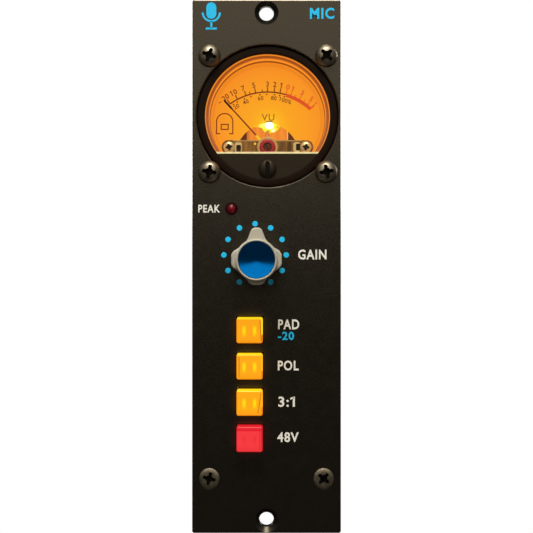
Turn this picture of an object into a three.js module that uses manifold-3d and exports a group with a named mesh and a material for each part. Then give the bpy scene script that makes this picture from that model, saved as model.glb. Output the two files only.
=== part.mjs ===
// Microphone preamplifier module for a rack of upright cards, in millimetres.
// The panel's rear face lies in the plane Y = 0 and is centred on the origin. -Y is the front,
// +X is the right-hand side as the user sees it, and +Z is up.
import * as THREE from 'three';
import { mergeVertices } from 'three/addons/utils/BufferGeometryUtils.js';
import Module from 'manifold-3d';

const wasm = await Module();
wasm.setup();

// ---------------------------------------------------------------- driving dimensions

const panel = { width: 37.2, height: 133.35, thick: 3.2, corner: 0.5 };
const front = -panel.thick;
const rackHole = { z: 63.5, radius: 1.85, sinkRadius: 3, sinkDepth: 1.15 };
const rearLip = { z: 58.7, step: 0.15 };

const meter = { x: 0.25, z: 37.65, radius: 17.9 };
const meterScrew = { x: 0.35, z: 38.15, pitchX: 29.2, pitchZ: 29 };
const movement = { z: -7.4, restAngle: -42.4, needle: 16.6 };

const knob = { x: -2.4, z: 2, radius: 5.1, base: -4.1, shoulder: -14.2, tip: -16.6, capRadius: 4.35 };
const pot = { bush: 3.2, shaft: 2, caseRadius: 8, nut: 4.6 };
const grub = { y: -9, z: -3.6, hole: 0.95, radius: 0.85, length: 2.8 };

const led = { x: -8.76, z: 14.43, radius: 1.3 };
const button = { x: -4.17, z: -15.72, pitch: 8.96, size: 6.5, height: 6.2, front: -7, capDepth: 8.3 };
const buttonNames = ['pad', 'polarity', 'tap', 'phantom'];
const switchBox = { size: 8.4, front: 4.3, well: 4.4, wellDepth: 4.9 };
const panelScrew = { x: 14.3, z: -53, sinkRadius: 2.7, sinkDepth: 1.5 };
const screw = { shank: 1.45, clearance: 1.65, headRadius: 2.8, headHeight: 2.1 };

const tray = { left: -17.6, right: 18, halfHeight: 58, sheet: 1.2, depth: 141 };
const board = { face: 11.6, thick: 1.6, halfHeight: 54, front: 17, rear: 138.6, tongueEnd: 149.2 };
const controls = { front: 13.5, thick: 1.6, left: -14.4, right: 10.2, bottom: -49, top: 19.3 };
const gap = 0.1;

// ---------------------------------------------------------------- materials

function finish(color, roughness, metalness) {
  return new THREE.MeshStandardMaterial({ color, roughness, metalness });
}

const material = {
  panelPaint: finish(0x24211c, 0.55, 0.2),
  blackSteel: finish(0x4a443c, 0.35, 0.9),
  blackPlastic: finish(0x15120f, 0.5, 0),
  clearPlastic: finish(0xf2e6cf, 0.05, 0),
  amberDial: finish(0xfa9a1e, 0.7, 0),
  needlePaint: finish(0x5a1408, 0.5, 0.1),
  plainBrass: finish(0xb08d4a, 0.35, 0.9),
  nickelSteel: finish(0xa9a294, 0.35, 0.9),
  redEnamel: finish(0xb01c26, 0.35, 0),
  copperWire: finish(0xa65a2c, 0.4, 0.8),
  lampGlass: finish(0xffe08a, 0.2, 0),
  knobGrey: finish(0xb3aa98, 0.5, 0),
  blueCap: finish(0x0b62b0, 0.15, 0.8),
  amberCap: finish(0xfaa018, 0.35, 0),
  redCap: finish(0xee3a40, 0.35, 0),
  whitePlastic: finish(0xe8e4da, 0.5, 0),
  darkRed: finish(0x6e0a14, 0.25, 0),
  zincSteel: finish(0xb9bcbc, 0.4, 0.9),
  greenBoard: finish(0x174a2c, 0.45, 0),
  steelCan: finish(0x9fa3a4, 0.35, 0.9),
  coreSteel: finish(0x5c5c5e, 0.5, 0.8),
  coilTape: finish(0xc9a23a, 0.55, 0),
  pottedBlock: finish(0x1b1b1d, 0.45, 0),
  capacitorSleeve: finish(0x1f3f7a, 0.4, 0),
  redSleeve: finish(0xb02020, 0.5, 0),
};

// ---------------------------------------------------------------- shaping helpers

const preamp = new THREE.Group();

function piece(name, geometry, finishName, [x, y, z] = [0, 0, 0]) {
  const mesh = new THREE.Mesh(geometry, material[finishName]);
  mesh.name = name;
  mesh.position.set(x, y, z);
  preamp.add(mesh);
}

function toSolid(geometry) {
  const bare = geometry.clone();
  bare.deleteAttribute('normal');
  bare.deleteAttribute('uv');
  const merged = mergeVertices(bare, 1e-4);
  return new wasm.Manifold(new wasm.Mesh({
    numProp: 3,
    vertProperties: new Float32Array(merged.attributes.position.array),
    triVerts: new Uint32Array(merged.index.array),
  }));
}

function toGeometry(solid) {
  const mesh = solid.getMesh();
  const geometry = new THREE.BufferGeometry();
  geometry.setAttribute('position', new THREE.BufferAttribute(mesh.vertProperties, 3));
  geometry.setIndex(new THREE.BufferAttribute(mesh.triVerts, 1));
  return geometry;
}

function cut(body, ...tools) {
  return toGeometry(tools.reduce((solid, tool) => solid.subtract(toSolid(tool)), toSolid(body)));
}

function join(body, ...others) {
  return toGeometry(others.reduce((solid, other) => solid.add(toSolid(other)), toSolid(body)));
}

// A box between its lowest and highest corners.
function block([x0, y0, z0], [x1, y1, z1]) {
  return new THREE.BoxGeometry(x1 - x0, y1 - y0, z1 - z0)
    .translate((x0 + x1) / 2, (y0 + y1) / 2, (z0 + z1) / 2);
}

// A square bar along Y, centred on the Y axis.
function bar(size, y0, y1, height = size) {
  return block([-size / 2, y0, -height / 2], [size / 2, y1, height / 2]);
}

// A cylinder along Y from y0 to y1.
function rod(radius, y0, y1, sides = 24) {
  return new THREE.CylinderGeometry(radius, radius, y1 - y0, sides).translate(0, (y0 + y1) / 2, 0);
}

// A solid turned about the Y axis. The profile is [radius, y] with y growing along the outside.
function turned(profile, sides = 32) {
  return new THREE.LatheGeometry(profile.map(([r, y]) => new THREE.Vector2(r, y)), sides);
}

// A plate of an outline drawn in X and Z, reaching from y0 to y1.
function plate(outline, y0, y1, curveSegments = 4) {
  return new THREE.ExtrudeGeometry(outline, { depth: y1 - y0, bevelEnabled: false, curveSegments })
    .rotateX(Math.PI / 2)
    .translate(0, y1, 0);
}

function roundedOutline(width, height, radius) {
  const x = width / 2 - radius;
  const z = height / 2 - radius;
  const outline = new THREE.Shape();
  outline.absarc(x, z, radius, 0, Math.PI / 2);
  outline.absarc(-x, z, radius, Math.PI / 2, Math.PI);
  outline.absarc(-x, -z, radius, Math.PI, Math.PI * 1.5);
  outline.absarc(x, -z, radius, Math.PI * 1.5, Math.PI * 2);
  return outline;
}

// A cross-shaped driver recess, sunk from y0 to y1.
function driverRecess(span, y0, y1) {
  const width = span * 0.26;
  return join(
    block([-span / 2, y0, -width / 2], [span / 2, y1, width / 2]),
    block([-width / 2, y0, -span / 2], [width / 2, y1, span / 2]),
  );
}

// ---------------------------------------------------------------- front panel

const meterScrewSpots = [['upper', 'left', -1, 1], ['upper', 'right', 1, 1],
  ['lower', 'left', -1, -1], ['lower', 'right', 1, -1]]
  .map(([row, side, sx, sz]) => ({
    name: `meter_screw_${row}_${side}`,
    x: meterScrew.x + sx * meterScrew.pitchX / 2,
    z: meterScrew.z + sz * meterScrew.pitchZ / 2,
  }));

function countersink(radius, sinkRadius, sinkDepth) {
  return turned([
    [0, front - 1], [sinkRadius + 1, front - 1], [sinkRadius, front], [radius, front + sinkDepth],
    [radius, 1], [0, 1],
  ], 16);
}

function frontPanel() {
  const holes = [
    rod(meter.radius, front - 1, 1, 60).translate(meter.x, 0, meter.z),
    rod(pot.bush + 0.15, front - 1, 1, 20).translate(knob.x, 0, knob.z),
    rod(led.radius + 0.15, front - 1, 1, 16).translate(led.x, 0, led.z),
  ];
  for (const side of [-1, 1]) {
    holes.push(countersink(rackHole.radius, rackHole.sinkRadius, rackHole.sinkDepth)
      .translate(0, 0, side * rackHole.z));
    holes.push(countersink(screw.clearance, panelScrew.sinkRadius, panelScrew.sinkDepth)
      .translate(side * panelScrew.x, 0, panelScrew.z));
  }
  for (const spot of meterScrewSpots) {
    holes.push(rod(screw.clearance, front - 1, 1, 12).translate(spot.x, 0, spot.z));
  }
  buttonNames.forEach((name, row) => {
    holes.push(bar(button.size + 0.6, front - 1, 1, button.height + 0.6)
      .translate(button.x, 0, button.z - row * button.pitch));
  });
  // Bare metal is milled back between the two rail lips, where the card tray earths to the panel.
  holes.push(block([-panel.width, -rearLip.step, -rearLip.z], [panel.width, 1, rearLip.z]));
  return cut(plate(roundedOutline(panel.width, panel.height, panel.corner), front, 0, 2), ...holes);
}

piece('front_panel', frontPanel(), 'panelPaint');

// ---------------------------------------------------------------- panel fasteners

function panScrew(length) {
  const rim = front - gap / 2;
  const { headRadius: r, headHeight: h, shank } = screw;
  const dome = [[0, rim - h], [r * 0.42, rim - h * 0.96], [r * 0.74, rim - h * 0.76],
    [r * 0.93, rim - h * 0.42], [r, rim - h * 0.12], [r, rim]];
  const body = turned([...dome, [shank, rim], [shank, rim + length], [0, rim + length]], 16);
  return cut(body, driverRecess(3.3, rim - h - 1, rim - h * 0.35));
}

function countersunkScrew(length) {
  const top = front + 0.05;
  const { sinkRadius, sinkDepth } = panelScrew;
  const body = turned([[0, top - 0.25], [sinkRadius * 0.6, top - 0.18], [sinkRadius - 0.1, top],
    [screw.shank, top + sinkDepth], [screw.shank, top + length], [0, top + length]], 16);
  return cut(body, driverRecess(3, top - 1, top + 1));
}

for (const spot of meterScrewSpots) {
  piece(spot.name, panScrew(7.6), 'blackSteel', [spot.x, 0, spot.z]);
}
piece('panel_screw_left', countersunkScrew(6.5), 'blackSteel', [-panelScrew.x, 0, panelScrew.z]);
piece('panel_screw_right', countersunkScrew(6.5), 'blackSteel', [panelScrew.x, 0, panelScrew.z]);

// ---------------------------------------------------------------- level meter

const meterPlace = [meter.x, 0, meter.z];
const mouth = 15;             // inner radius of the meter case
const caseDepth = 26;
const maskTop = -9.17;        // upper edge of the mask, from the meter's centre
const zeroScrewZ = -13.15;
const bridge = { halfSpan: 11.7, halfHeight: 1.8, screwX: 9.8, front: 2.6, rear: 3.6 };
const dial = { front: 6.5, rear: 7, radius: 14.8, window: 8.1, windowZ: -9.19 };

// The dial, mask and other flat meter parts are sections of discs.
function disc(radius, y0, y1) {
  return rod(radius, y0, y1, 56);
}

function meterCase() {
  const cup = turned([[0, caseDepth - 1.2], [mouth, caseDepth - 1.2], [mouth, 0.1], [mouth + 1, 0.1],
    [mouth + 1, caseDepth], [0, caseDepth]], 48);
  const flange = cut(plate(roundedOutline(36.2, 35.6, 3), 0.1, 2.1, 4), rod(mouth + 0.5, -1, 3, 48));
  const holes = meterScrewSpots.map((spot) => rod(screw.shank + 0.15, -1, 3, 12)
    .translate(spot.x - meter.x, 0, spot.z - meter.z));
  const studs = [-7, 7].map((x) => rod(1.7, 20, 30, 12).translate(x, 0, 0));
  return cut(join(cup, flange), ...holes, ...studs);
}

function meterBezel() {
  const profile = [[15.95, -0.05], [15.95, -1.9], [16.6, -2.5], [17.6, -2.4], [17.6, -0.05]];
  return turned([...profile, profile[0]], 56);
}

function meterLens() {
  return cut(disc(15.8, -1, 0), rod(1.2, -2, 1, 12).translate(0, 0, zeroScrewZ));
}

function meterMask() {
  const above = block([-20, -5, maskTop], [20, 5, 20]);
  return cut(disc(15.8, -2, -1.1), above, rod(1.2, -5, 5, 12).translate(0, 0, zeroScrewZ));
}

function meterZeroScrew() {
  const head = 2.34;
  const halfSlot = 0.5;
  const body = turned([[0, -3], [1.35, -2.92], [2.08, -2.65], [head, -2.3], [head, -2.1], [1, -2.1], [1, 1.6],
    [0, 1.6]], 20);
  return cut(body, block([-halfSlot, -4, -3], [halfSlot, -2.45, 3]));
}

function meterDial() {
  const window = rod(dial.window, 5, 9, 48).translate(0, 0, dial.windowZ);
  const lampNotch = rod(1.75, 5, 9, 16).translate(0.45, 0, -1.6);
  const screwHoles = [-1, 1].map((side) => rod(0.95, 5, 9, 10)
    .translate(side * bridge.screwX, 0, movement.z));
  return cut(disc(dial.radius, dial.front, dial.rear), window, lampNotch, ...screwHoles);
}

function meterBridge() {
  const outline = roundedOutline(2 * bridge.halfSpan, 2 * bridge.halfHeight, bridge.halfHeight - 0.01);
  const holes = [-1, 0, 1].map((side) => rod(0.85, 0, 9, 10).translate(side * bridge.screwX, 0, 0));
  return cut(plate(outline, bridge.front, bridge.rear, 5), ...holes);
}

function bridgeScrew() {
  const body = turned([[0, 1.75], [0.9, 1.85], [1.45, 2.25], [1.45, 2.55], [0.7, 2.55], [0.7, 11],
    [0, 11]], 14);
  return cut(body, driverRecess(1.8, 1, 2.15));
}

function jewelBush() {
  return cut(turned([[0, 1.2], [0.8, 1.2], [1.7, 1.3], [2.04, 1.6], [2.04, 2.5], [0, 2.5]], 20),
    rod(0.85, 0, 1.8, 12), block([-0.2, 0, -0.7], [0.2, 2, 0.7]));
}

// The pointer swings about the Y axis, so it is drawn upright and then turned to its rest.
function meterNeedle() {
  const pointer = block([-0.17, 4.6, -3.2], [0.17, 4.95, movement.needle]);
  const blade = block([-0.3, 4.6, movement.needle - 2.4], [0.3, 4.95, movement.needle - 0.3]);
  const balance = block([-2.6, 4.6, -0.25], [2.6, 4.95, 0.25]);
  const hub = rod(1.1, 4.2, 5.6, 12);
  const pin = rod(0.4, 2.9, 7.9, 8);
  return join(hub, pin, pointer, blade, balance).rotateY(THREE.MathUtils.degToRad(movement.restAngle));
}

function meterCoil() {
  const frame = cut(block([-3.9, 8, -2.3], [3.9, 17.6, 2.3]), block([-2.8, 9.2, -5], [2.8, 16.4, 5]));
  return frame.rotateY(THREE.MathUtils.degToRad(movement.restAngle));
}

function meterMagnet() {
  return turned([[5.6, 16.2], [5.6, 9.4], [7.3, 9.4], [7.3, 16.2], [5.6, 16.2]], 32);
}

function meterLamp() {
  return turned([[0, 5.3], [0.6, 5.4], [1.1, 5.8], [1.3, 6.4], [1.3, 9], [0, 9]], 16);
}

piece('meter_case', meterCase(), 'blackPlastic', meterPlace);
piece('meter_bezel', meterBezel(), 'blackPlastic', meterPlace);
piece('meter_lens', meterLens(), 'clearPlastic', meterPlace);
piece('meter_mask', meterMask(), 'blackPlastic', meterPlace);
piece('meter_zero_screw', meterZeroScrew(), 'blackPlastic', [meter.x, 0, meter.z + zeroScrewZ]);
piece('meter_dial', meterDial(), 'amberDial', meterPlace);

const pivotZ = meter.z + movement.z;
piece('meter_bridge', meterBridge(), 'nickelSteel', [meter.x, 0, pivotZ]);
piece('bridge_screw_left', bridgeScrew(), 'nickelSteel', [meter.x - bridge.screwX, 0, pivotZ]);
piece('bridge_screw_right', bridgeScrew(), 'nickelSteel', [meter.x + bridge.screwX, 0, pivotZ]);
piece('meter_jewel_bush', jewelBush(), 'redEnamel', [meter.x, 0, pivotZ]);
piece('meter_needle', meterNeedle(), 'needlePaint', [meter.x, 0, pivotZ]);
piece('meter_coil', meterCoil(), 'copperWire', [meter.x, 0, pivotZ]);
piece('meter_magnet', meterMagnet(), 'coreSteel', [meter.x, 0, pivotZ]);
piece('meter_lamp', meterLamp(), 'lampGlass', [meter.x + 0.45, 0, meter.z - 1.6]);

const stud = { spread: 7, rear: 33 };
for (const [side, sx] of [['left', -1], ['right', 1]]) {
  const body = turned([[0, 23], [2.6, 23], [2.6, 24.7], [1.5, 24.7], [1.5, stud.rear], [0, stud.rear]], 14);
  piece(`meter_terminal_${side}`, body, 'plainBrass', [meter.x + sx * stud.spread, 0, meter.z]);
}

// Two leads from the meter's terminals to the main card.
function lead(points, radius) {
  const route = new THREE.CatmullRomCurve3(points.map((p) => new THREE.Vector3(...p)));
  const section = new THREE.Shape();
  section.absarc(0, 0, radius, 0, Math.PI * 2);
  return new THREE.ExtrudeGeometry(section, { steps: 14, curveSegments: 3, extrudePath: route });
}

const leadEnd = board.face - 0.3;
piece('meter_lead_red', lead([[7.25, 33.3, meter.z], [7.25, 37, meter.z], [7.8, 41, 35.5], [9.2, 43, 31.5],
  [10.6, 43, 29.8], [leadEnd, 43, 29.5]], 0.65), 'redSleeve');
piece('meter_lead_black', lead([[-6.75, 33.3, meter.z], [-6.75, 37.5, meter.z], [-4.6, 43, 39.6],
  [2, 46.5, 41.2], [8.4, 47.2, 41], [leadEnd, 47.4, 40.8]], 0.65), 'blackPlastic');

// ---------------------------------------------------------------- peak lamp

function peakLed() {
  const r = led.radius;
  const body = turned([[0, -4.3], [r * 0.5, -4.1], [r * 0.87, -3.6], [r, -2.9], [r, 1], [r + 0.4, 1],
    [r + 0.4, 2], [0, 2]], 16);
  const legs = [-0.635, 0.635].map((x) => block([x - 0.22, 1.5, -0.22], [x + 0.22, 13.4, 0.22]));
  return join(body, ...legs);
}

piece('peak_led', peakLed(), 'darkRed', [led.x, 0, led.z]);
piece('led_spacer', cut(rod(2.3, 2.1, 13.3, 16), rod(1.2, 0, 20, 10)), 'blackPlastic', [led.x, 0, led.z]);

// ---------------------------------------------------------------- gain control

// The knob's outline: a round body with a long pointer at the top and three short lobes. Each lobe
// is drawn pointing up and then turned clockwise about the axis.
const pointer = { turn: 0, tip: 7.75, halfTip: 1.1, halfRoot: 2.25 };
const shortLobes = [90, 180, 270].map((turn) => ({ turn, tip: 6.1, halfTip: 1.6, halfRoot: 2.5 }));

function knobOutline() {
  const corners = [pointer, ...shortLobes].flatMap(({ turn, tip, halfTip, halfRoot }) => {
    const angle = THREE.MathUtils.degToRad(turn);
    const root = Math.sqrt(knob.radius ** 2 - halfRoot ** 2);
    return [[-halfRoot, root], [-halfTip, tip], [halfTip, tip], [halfRoot, root]]
      .map(([side, out]) => new THREE.Vector2(
        side * Math.cos(angle) + out * Math.sin(angle),
        out * Math.cos(angle) - side * Math.sin(angle),
      ));
  });
  return new THREE.Shape(corners);
}

function knobBody() {
  const skirt = plate(knobOutline(), knob.shoulder, knob.base);
  const crown = turned([[0, knob.tip], [4.75, knob.tip], [4.95, knob.tip + 0.3], [5.1, knob.shoulder + 0.5],
    [0, knob.shoulder + 0.5]], 36);
  const capSeat = rod(knob.capRadius + gap, knob.tip - 1, knob.tip + 1.4, 36);
  const bore = rod(pot.shaft + 0.06, -12.4, 0, 20);
  const nutRoom = rod(pot.nut + 0.15, knob.base - 3.2, 0, 24);
  const grubHole = rod(grub.hole, -4, 4, 10).rotateX(Math.PI / 2).translate(0, grub.y, -4);
  return cut(join(skirt, crown), capSeat, bore, nutRoom, grubHole);
}

function knobCap() {
  const { tip, capRadius: r } = knob;
  return turned([[0, tip + 0.75], [r * 0.46, tip + 0.62], [r * 0.78, tip + 0.35], [r - 0.25, tip + 0.1],
    [r, tip + 0.1], [r, tip + 1.3], [0, tip + 1.3]], 32);
}

const potPlace = [knob.x, 0, knob.z];
piece('knob_body', knobBody(), 'knobGrey', potPlace);
piece('knob_cap', knobCap(), 'blueCap', potPlace);

function knobGrubScrew() {
  const half = grub.length / 2;
  const slot = block([-0.15, -half - 1, -1], [0.15, 0.5 - half, 1]);
  return cut(rod(grub.radius, -half, half, 10), slot).rotateX(Math.PI / 2).translate(0, grub.y, grub.z);
}

piece('knob_grub_screw', knobGrubScrew(), 'nickelSteel', potPlace);
piece('pot_shaft', rod(pot.shaft, -12.2, 8, 20), 'plainBrass', potPlace);
const bushing = cut(rod(pot.bush, -6.9, 0.8, 20), rod(pot.shaft + 0.06, -9, 9, 20));
const nut = cut(rod(pot.nut, -5.2, front - gap, 6), rod(pot.bush + gap, -9, 9, 20));
piece('pot_bushing', bushing, 'nickelSteel', potPlace);
piece('pot_nut', nut, 'nickelSteel', potPlace);

function potCase() {
  const can = turned([[0, 0.9], [pot.caseRadius - 0.6, 0.9], [pot.caseRadius, 1.5], [pot.caseRadius, 9.4],
    [0, 9.4]], 28);
  const pins = [-5, 0, 5].map((x) => block([x - 0.5, 9, -4.4], [x + 0.5, 13.4, -3.6]));
  return cut(join(can, ...pins), rod(pot.shaft + 0.1, 0, 8.2, 20));
}

piece('pot_case', potCase(), 'nickelSteel', potPlace);

// ---------------------------------------------------------------- push buttons

const switchRear = controls.front - gap;
const capWall = 0.75;
const capEdge = 0.3;
const capInside = button.size - 2 * capWall;
const capInsideHeight = button.height - 2 * capWall;

// A hollow cap, open at the rear, with its front edge eased.
function buttonCap() {
  const rear = button.front + button.capDepth;
  const face = roundedOutline(button.size - 2 * capEdge, button.height - 2 * capEdge, 0.4);
  const shell = new THREE.ExtrudeGeometry(face, {
    depth: button.capDepth, bevelEnabled: true, bevelThickness: capEdge, bevelSize: capEdge, bevelSegments: 1,
    curveSegments: 2,
  }).rotateX(Math.PI / 2).translate(0, rear + capEdge, 0);
  const hollow = bar(capInside + gap, button.front + 0.8, rear + 1, capInsideHeight + gap);
  return cut(shell, hollow, bar(2 * button.size, rear, rear + 1));
}

// The plunger fills the front of the cap and its stem slides in the switch.
function buttonPlunger() {
  const neck = button.front + 3.9;
  const head = bar(capInside - gap, button.front + 0.9, neck, capInsideHeight - gap);
  return join(head, bar(switchBox.well - 0.6, neck, 6));
}

function switchBody() {
  return cut(bar(switchBox.size, switchBox.front, switchRear),
    bar(switchBox.well, 0, switchBox.front + switchBox.wellDepth));
}

buttonNames.forEach((name, row) => {
  const place = [button.x, 0, button.z - row * button.pitch];
  piece(`${name}_button_cap`, buttonCap(), name === 'phantom' ? 'redCap' : 'amberCap', place);
  piece(`${name}_plunger`, buttonPlunger(), 'whitePlastic', place);
  piece(`${name}_switch`, switchBody(), 'blackPlastic', place);
});

// ---------------------------------------------------------------- cards and tray

const boardHoles = [[24, -48], [132, -48], [132, 48], [38, 48]];   // Y and Z
const boardRear = board.face + board.thick;
const tongue = 30.5;         // half the height of the card edge

function mainBoard() {
  const outline = new THREE.Shape();
  const { front: y0, rear: y1, tongueEnd: y2, halfHeight: h } = board;
  outline.moveTo(y0, -h);
  const corners = [[y1, -h], [y1, -tongue], [y2, -tongue], [y2, tongue], [y1, tongue], [y1, h], [36, h],
    [36, 19], [y0, 19]];
  corners.forEach(([y, z]) => outline.lineTo(y, z));
  outline.closePath();
  for (const [y, z] of boardHoles) {
    const hole = new THREE.Path();
    hole.absarc(y, z, 1.6, 0, Math.PI * 2);
    outline.holes.push(hole);
  }
  // The outline is drawn in Y and Z and stands across X.
  const flat = new THREE.ExtrudeGeometry(outline, {
    depth: board.thick, bevelEnabled: false, curveSegments: 4,
  });
  const upright = new THREE.Matrix4().makeBasis(new THREE.Vector3(0, 1, 0), new THREE.Vector3(0, 0, 1),
    new THREE.Vector3(1, 0, 0));
  return flat.applyMatrix4(upright).translate(board.face, 0, 0);
}

// A cylinder along X from x0 to x1, at a place on the card.
function post(radius, x0, x1, y, z, sides = 16) {
  return new THREE.CylinderGeometry(radius, radius, x1 - x0, sides)
    .rotateZ(Math.PI / 2)
    .translate((x0 + x1) / 2, y, z);
}

function cardTray() {
  const { left, right, halfHeight: h, sheet, depth } = tray;
  // The upper part starts behind the meter's flange, and the lower part behind the panel.
  const upper = 2.4;
  const lower = gap;
  const side = join(block([right - sheet, lower, -h], [right, depth, 19]),
    block([right - sheet, upper, 18.9], [right, depth, h]));
  const floor = block([left, lower, -h], [right, depth, -h + sheet]);
  const roof = block([left, upper, h - sheet], [right, depth, h]);
  const rearWall = cut(block([left, depth - sheet, -h], [right, depth, h]),
    block([9.2, depth - 9, -tongue - 2.5], [15.6, depth + 9, tongue + 2.5]));
  const lowerLip = block([left, lower, -h], [right, lower + sheet, -48.5]);
  const upperLips = [[left, -12], [12.5, right]]
    .map(([x0, x1]) => block([x0, upper, 49], [x1, upper + sheet, h]));
  const pillars = boardHoles.map(([y, z]) => post(2.8, boardRear + gap, right - 0.5, y, z, 12));
  const holes = [-1, 1].map((s) => rod(screw.shank + 0.1, -1, 9, 12)
    .translate(s * panelScrew.x, 0, panelScrew.z));
  for (const spot of meterScrewSpots.slice(0, 2)) {
    holes.push(rod(screw.shank + 0.1, -1, 9, 12).translate(spot.x, 0, spot.z));
  }
  for (const z of [-44, -38, 38, 44]) {
    holes.push(plate(roundedOutline(20, 2.4, 1.1), depth - 9, depth + 9, 3).translate(-3, 0, z));
  }
  const tapped = boardHoles.map(([y, z]) => post(1.3, 10, right + 1, y, z, 8));
  return cut(join(side, floor, roof, rearWall, lowerLip, ...upperLips, ...pillars), ...holes, ...tapped);
}

piece('control_board', block([controls.left, controls.front, controls.bottom],
  [controls.right, controls.front + controls.thick, controls.top]), 'greenBoard');
piece('board_link', join(block([7.4, 15.2, -42], [10, 21, -8]), block([9, 18.2, -42], [11.5, 21, -8])),
  'blackPlastic');
piece('main_board', mainBoard(), 'greenBoard');
piece('card_tray', cardTray(), 'zincSteel');

// ---------------------------------------------------------------- parts on the main card

const onBoard = board.face - gap;

// A rounded can standing on the card, from its free end x0 to the card.
function can(radius, x0, y, z, sides = 32) {
  const length = onBoard - x0;
  return turned([[0, 0], [radius - 1, 0], [radius, 1], [radius, length], [0, length]], sides)
    .rotateZ(-Math.PI / 2)
    .translate(x0, y, z);
}

function capacitor(radius, x0, y, z) {
  const length = onBoard - x0;
  return turned([[0, 0], [radius - 0.5, 0], [radius, 0.5], [radius, length - 2.6], [radius - 0.4, length - 2],
    [radius, length - 1.4], [radius, length], [0, length]], 20).rotateZ(-Math.PI / 2).translate(x0, y, z);
}

piece('input_transformer', can(14.3, -12.5, 52, -30), 'steelCan');

const output = { y: 112, z: 26, x: -1.6, width: 41, height: 34, stack: 14, leg: 13.7, window: 6.8 };

function outputCore() {
  const { y, z, x, width, height, stack, leg, window } = output;
  const slots = [-1, 1].map((side) => {
    const near = side * leg / 2;
    const far = side * (leg / 2 + window);
    return block([x - stack, y + Math.min(near, far), z - 10.25],
      [x + stack, y + Math.max(near, far), z + 10.25]);
  });
  const core = block([x - stack / 2, y - width / 2, z - height / 2],
    [x + stack / 2, y + width / 2, z + height / 2]);
  return cut(core, ...slots);
}

function outputCoil() {
  const { y, z, x, stack, leg, window } = output;
  const reach = leg / 2 + window - 0.3;
  const bore = block([x - stack / 2 - 0.2, y - leg / 2 - 0.15, z - 20],
    [x + stack / 2 + 0.2, y + leg / 2 + 0.15, z + 20]);
  return cut(block([x - 12.9, y - reach, z - 10], [x + 12.9, y + reach, z + 10]), bore);
}

function outputFrame() {
  const { y, z, x, width, height, stack } = output;
  const [ry, rz] = [width / 2, height / 2];
  const x0 = x - stack / 2 + 2;
  const shroud = cut(block([x0, y - ry - 0.9, z - rz - 0.9], [onBoard, y + ry + 0.9, z + rz + 0.9]),
    block([x0 - 5, y - ry - gap, z - rz - gap], [onBoard + 5, y + ry + gap, z + rz + gap]));
  // The shroud's lower half is cut away between its four feet.
  return cut(shroud, block([x + stack / 2 - 2, y - 15, z - 30], [onBoard + 5, y + 15, z + 30]),
    block([x + stack / 2 - 2, y - 30, z - 12], [onBoard + 5, y + 30, z + 12]));
}

piece('output_transformer_core', outputCore(), 'coreSteel');
piece('output_transformer_coil', outputCoil(), 'coilTape');
piece('output_transformer_frame', outputFrame(), 'zincSteel');

function amplifierBlock() {
  const [y, z, half] = [112, -28, 14.2];
  const body = new THREE.ExtrudeGeometry(roundedOutline(2 * half, 2 * half, 1.2), {
    depth: 13.5, bevelEnabled: true, bevelThickness: 0.5, bevelSize: 0.5, bevelOffset: -0.5, bevelSegments: 1,
    curveSegments: 2,
  }).rotateY(Math.PI / 2).translate(-8, y, z);
  const pins = [[-11, -11], [-11, 0], [-11, 11], [11, -11], [11, -4], [11, 4], [11, 11]]
    .map(([dy, dz]) => post(0.6, 5, onBoard, y + dy, z + dz, 8));
  return join(body, ...pins);
}

piece('amplifier_block', amplifierBlock(), 'pottedBlock');
piece('pad_relay', block([1.2, 24, -36], [onBoard, 34, -16]), 'whitePlastic');
piece('phantom_relay', block([1.2, 24, -12], [onBoard, 34, 8]), 'whitePlastic');
piece('supply_capacitor_positive', capacitor(6.3, -9.4, 80, -36), 'capacitorSleeve');
piece('supply_capacitor_negative', capacitor(6.3, -9.4, 80, -21.5), 'capacitorSleeve');
piece('coupling_capacitor', capacitor(5, -5.4, 80, -6), 'capacitorSleeve');

export default preamp;
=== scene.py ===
# Microphone preamplifier module for a rack of upright cards: a black panel with a lit level meter,
# a gain knob and four lit buttons, on a steel tray that holds its card and transformers.
from math import asin, cos, pi, radians, sin, sqrt

import bpy
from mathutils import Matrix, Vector


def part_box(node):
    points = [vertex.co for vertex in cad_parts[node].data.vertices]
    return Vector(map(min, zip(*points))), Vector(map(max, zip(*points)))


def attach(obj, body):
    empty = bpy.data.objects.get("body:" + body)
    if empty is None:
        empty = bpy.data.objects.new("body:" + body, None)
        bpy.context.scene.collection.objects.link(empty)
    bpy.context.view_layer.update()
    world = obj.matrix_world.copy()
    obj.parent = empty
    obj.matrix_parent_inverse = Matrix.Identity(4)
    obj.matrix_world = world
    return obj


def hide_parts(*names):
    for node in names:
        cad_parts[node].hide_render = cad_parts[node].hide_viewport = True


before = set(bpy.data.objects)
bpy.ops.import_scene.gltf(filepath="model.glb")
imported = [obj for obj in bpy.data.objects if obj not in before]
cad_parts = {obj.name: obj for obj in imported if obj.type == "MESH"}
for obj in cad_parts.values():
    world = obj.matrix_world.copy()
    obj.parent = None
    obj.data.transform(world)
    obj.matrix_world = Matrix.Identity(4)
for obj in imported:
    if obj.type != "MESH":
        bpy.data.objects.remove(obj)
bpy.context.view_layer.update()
MM = 0.001

# ---------------------------------------------------------------------------------------- studio
# The module hangs level in front of a white studio. A large soft light stands in front of it and
# above, a smaller one nearly overhead draws the shadows, and others behind it light its rear.

bpy.ops.object.camera_add(location=(0, -0.2932, 0.0096), rotation=(pi / 2, 0, 0))
camera = bpy.context.object
camera.name = camera.data.name = "camera"
camera.data.lens = 78.35
camera.data.sensor_width = 36
camera.data.shift_y = -0.072
camera.data.clip_start = 0.01
bpy.context.scene.camera = camera
bpy.context.scene.view_settings.view_transform = "Standard"


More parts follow.
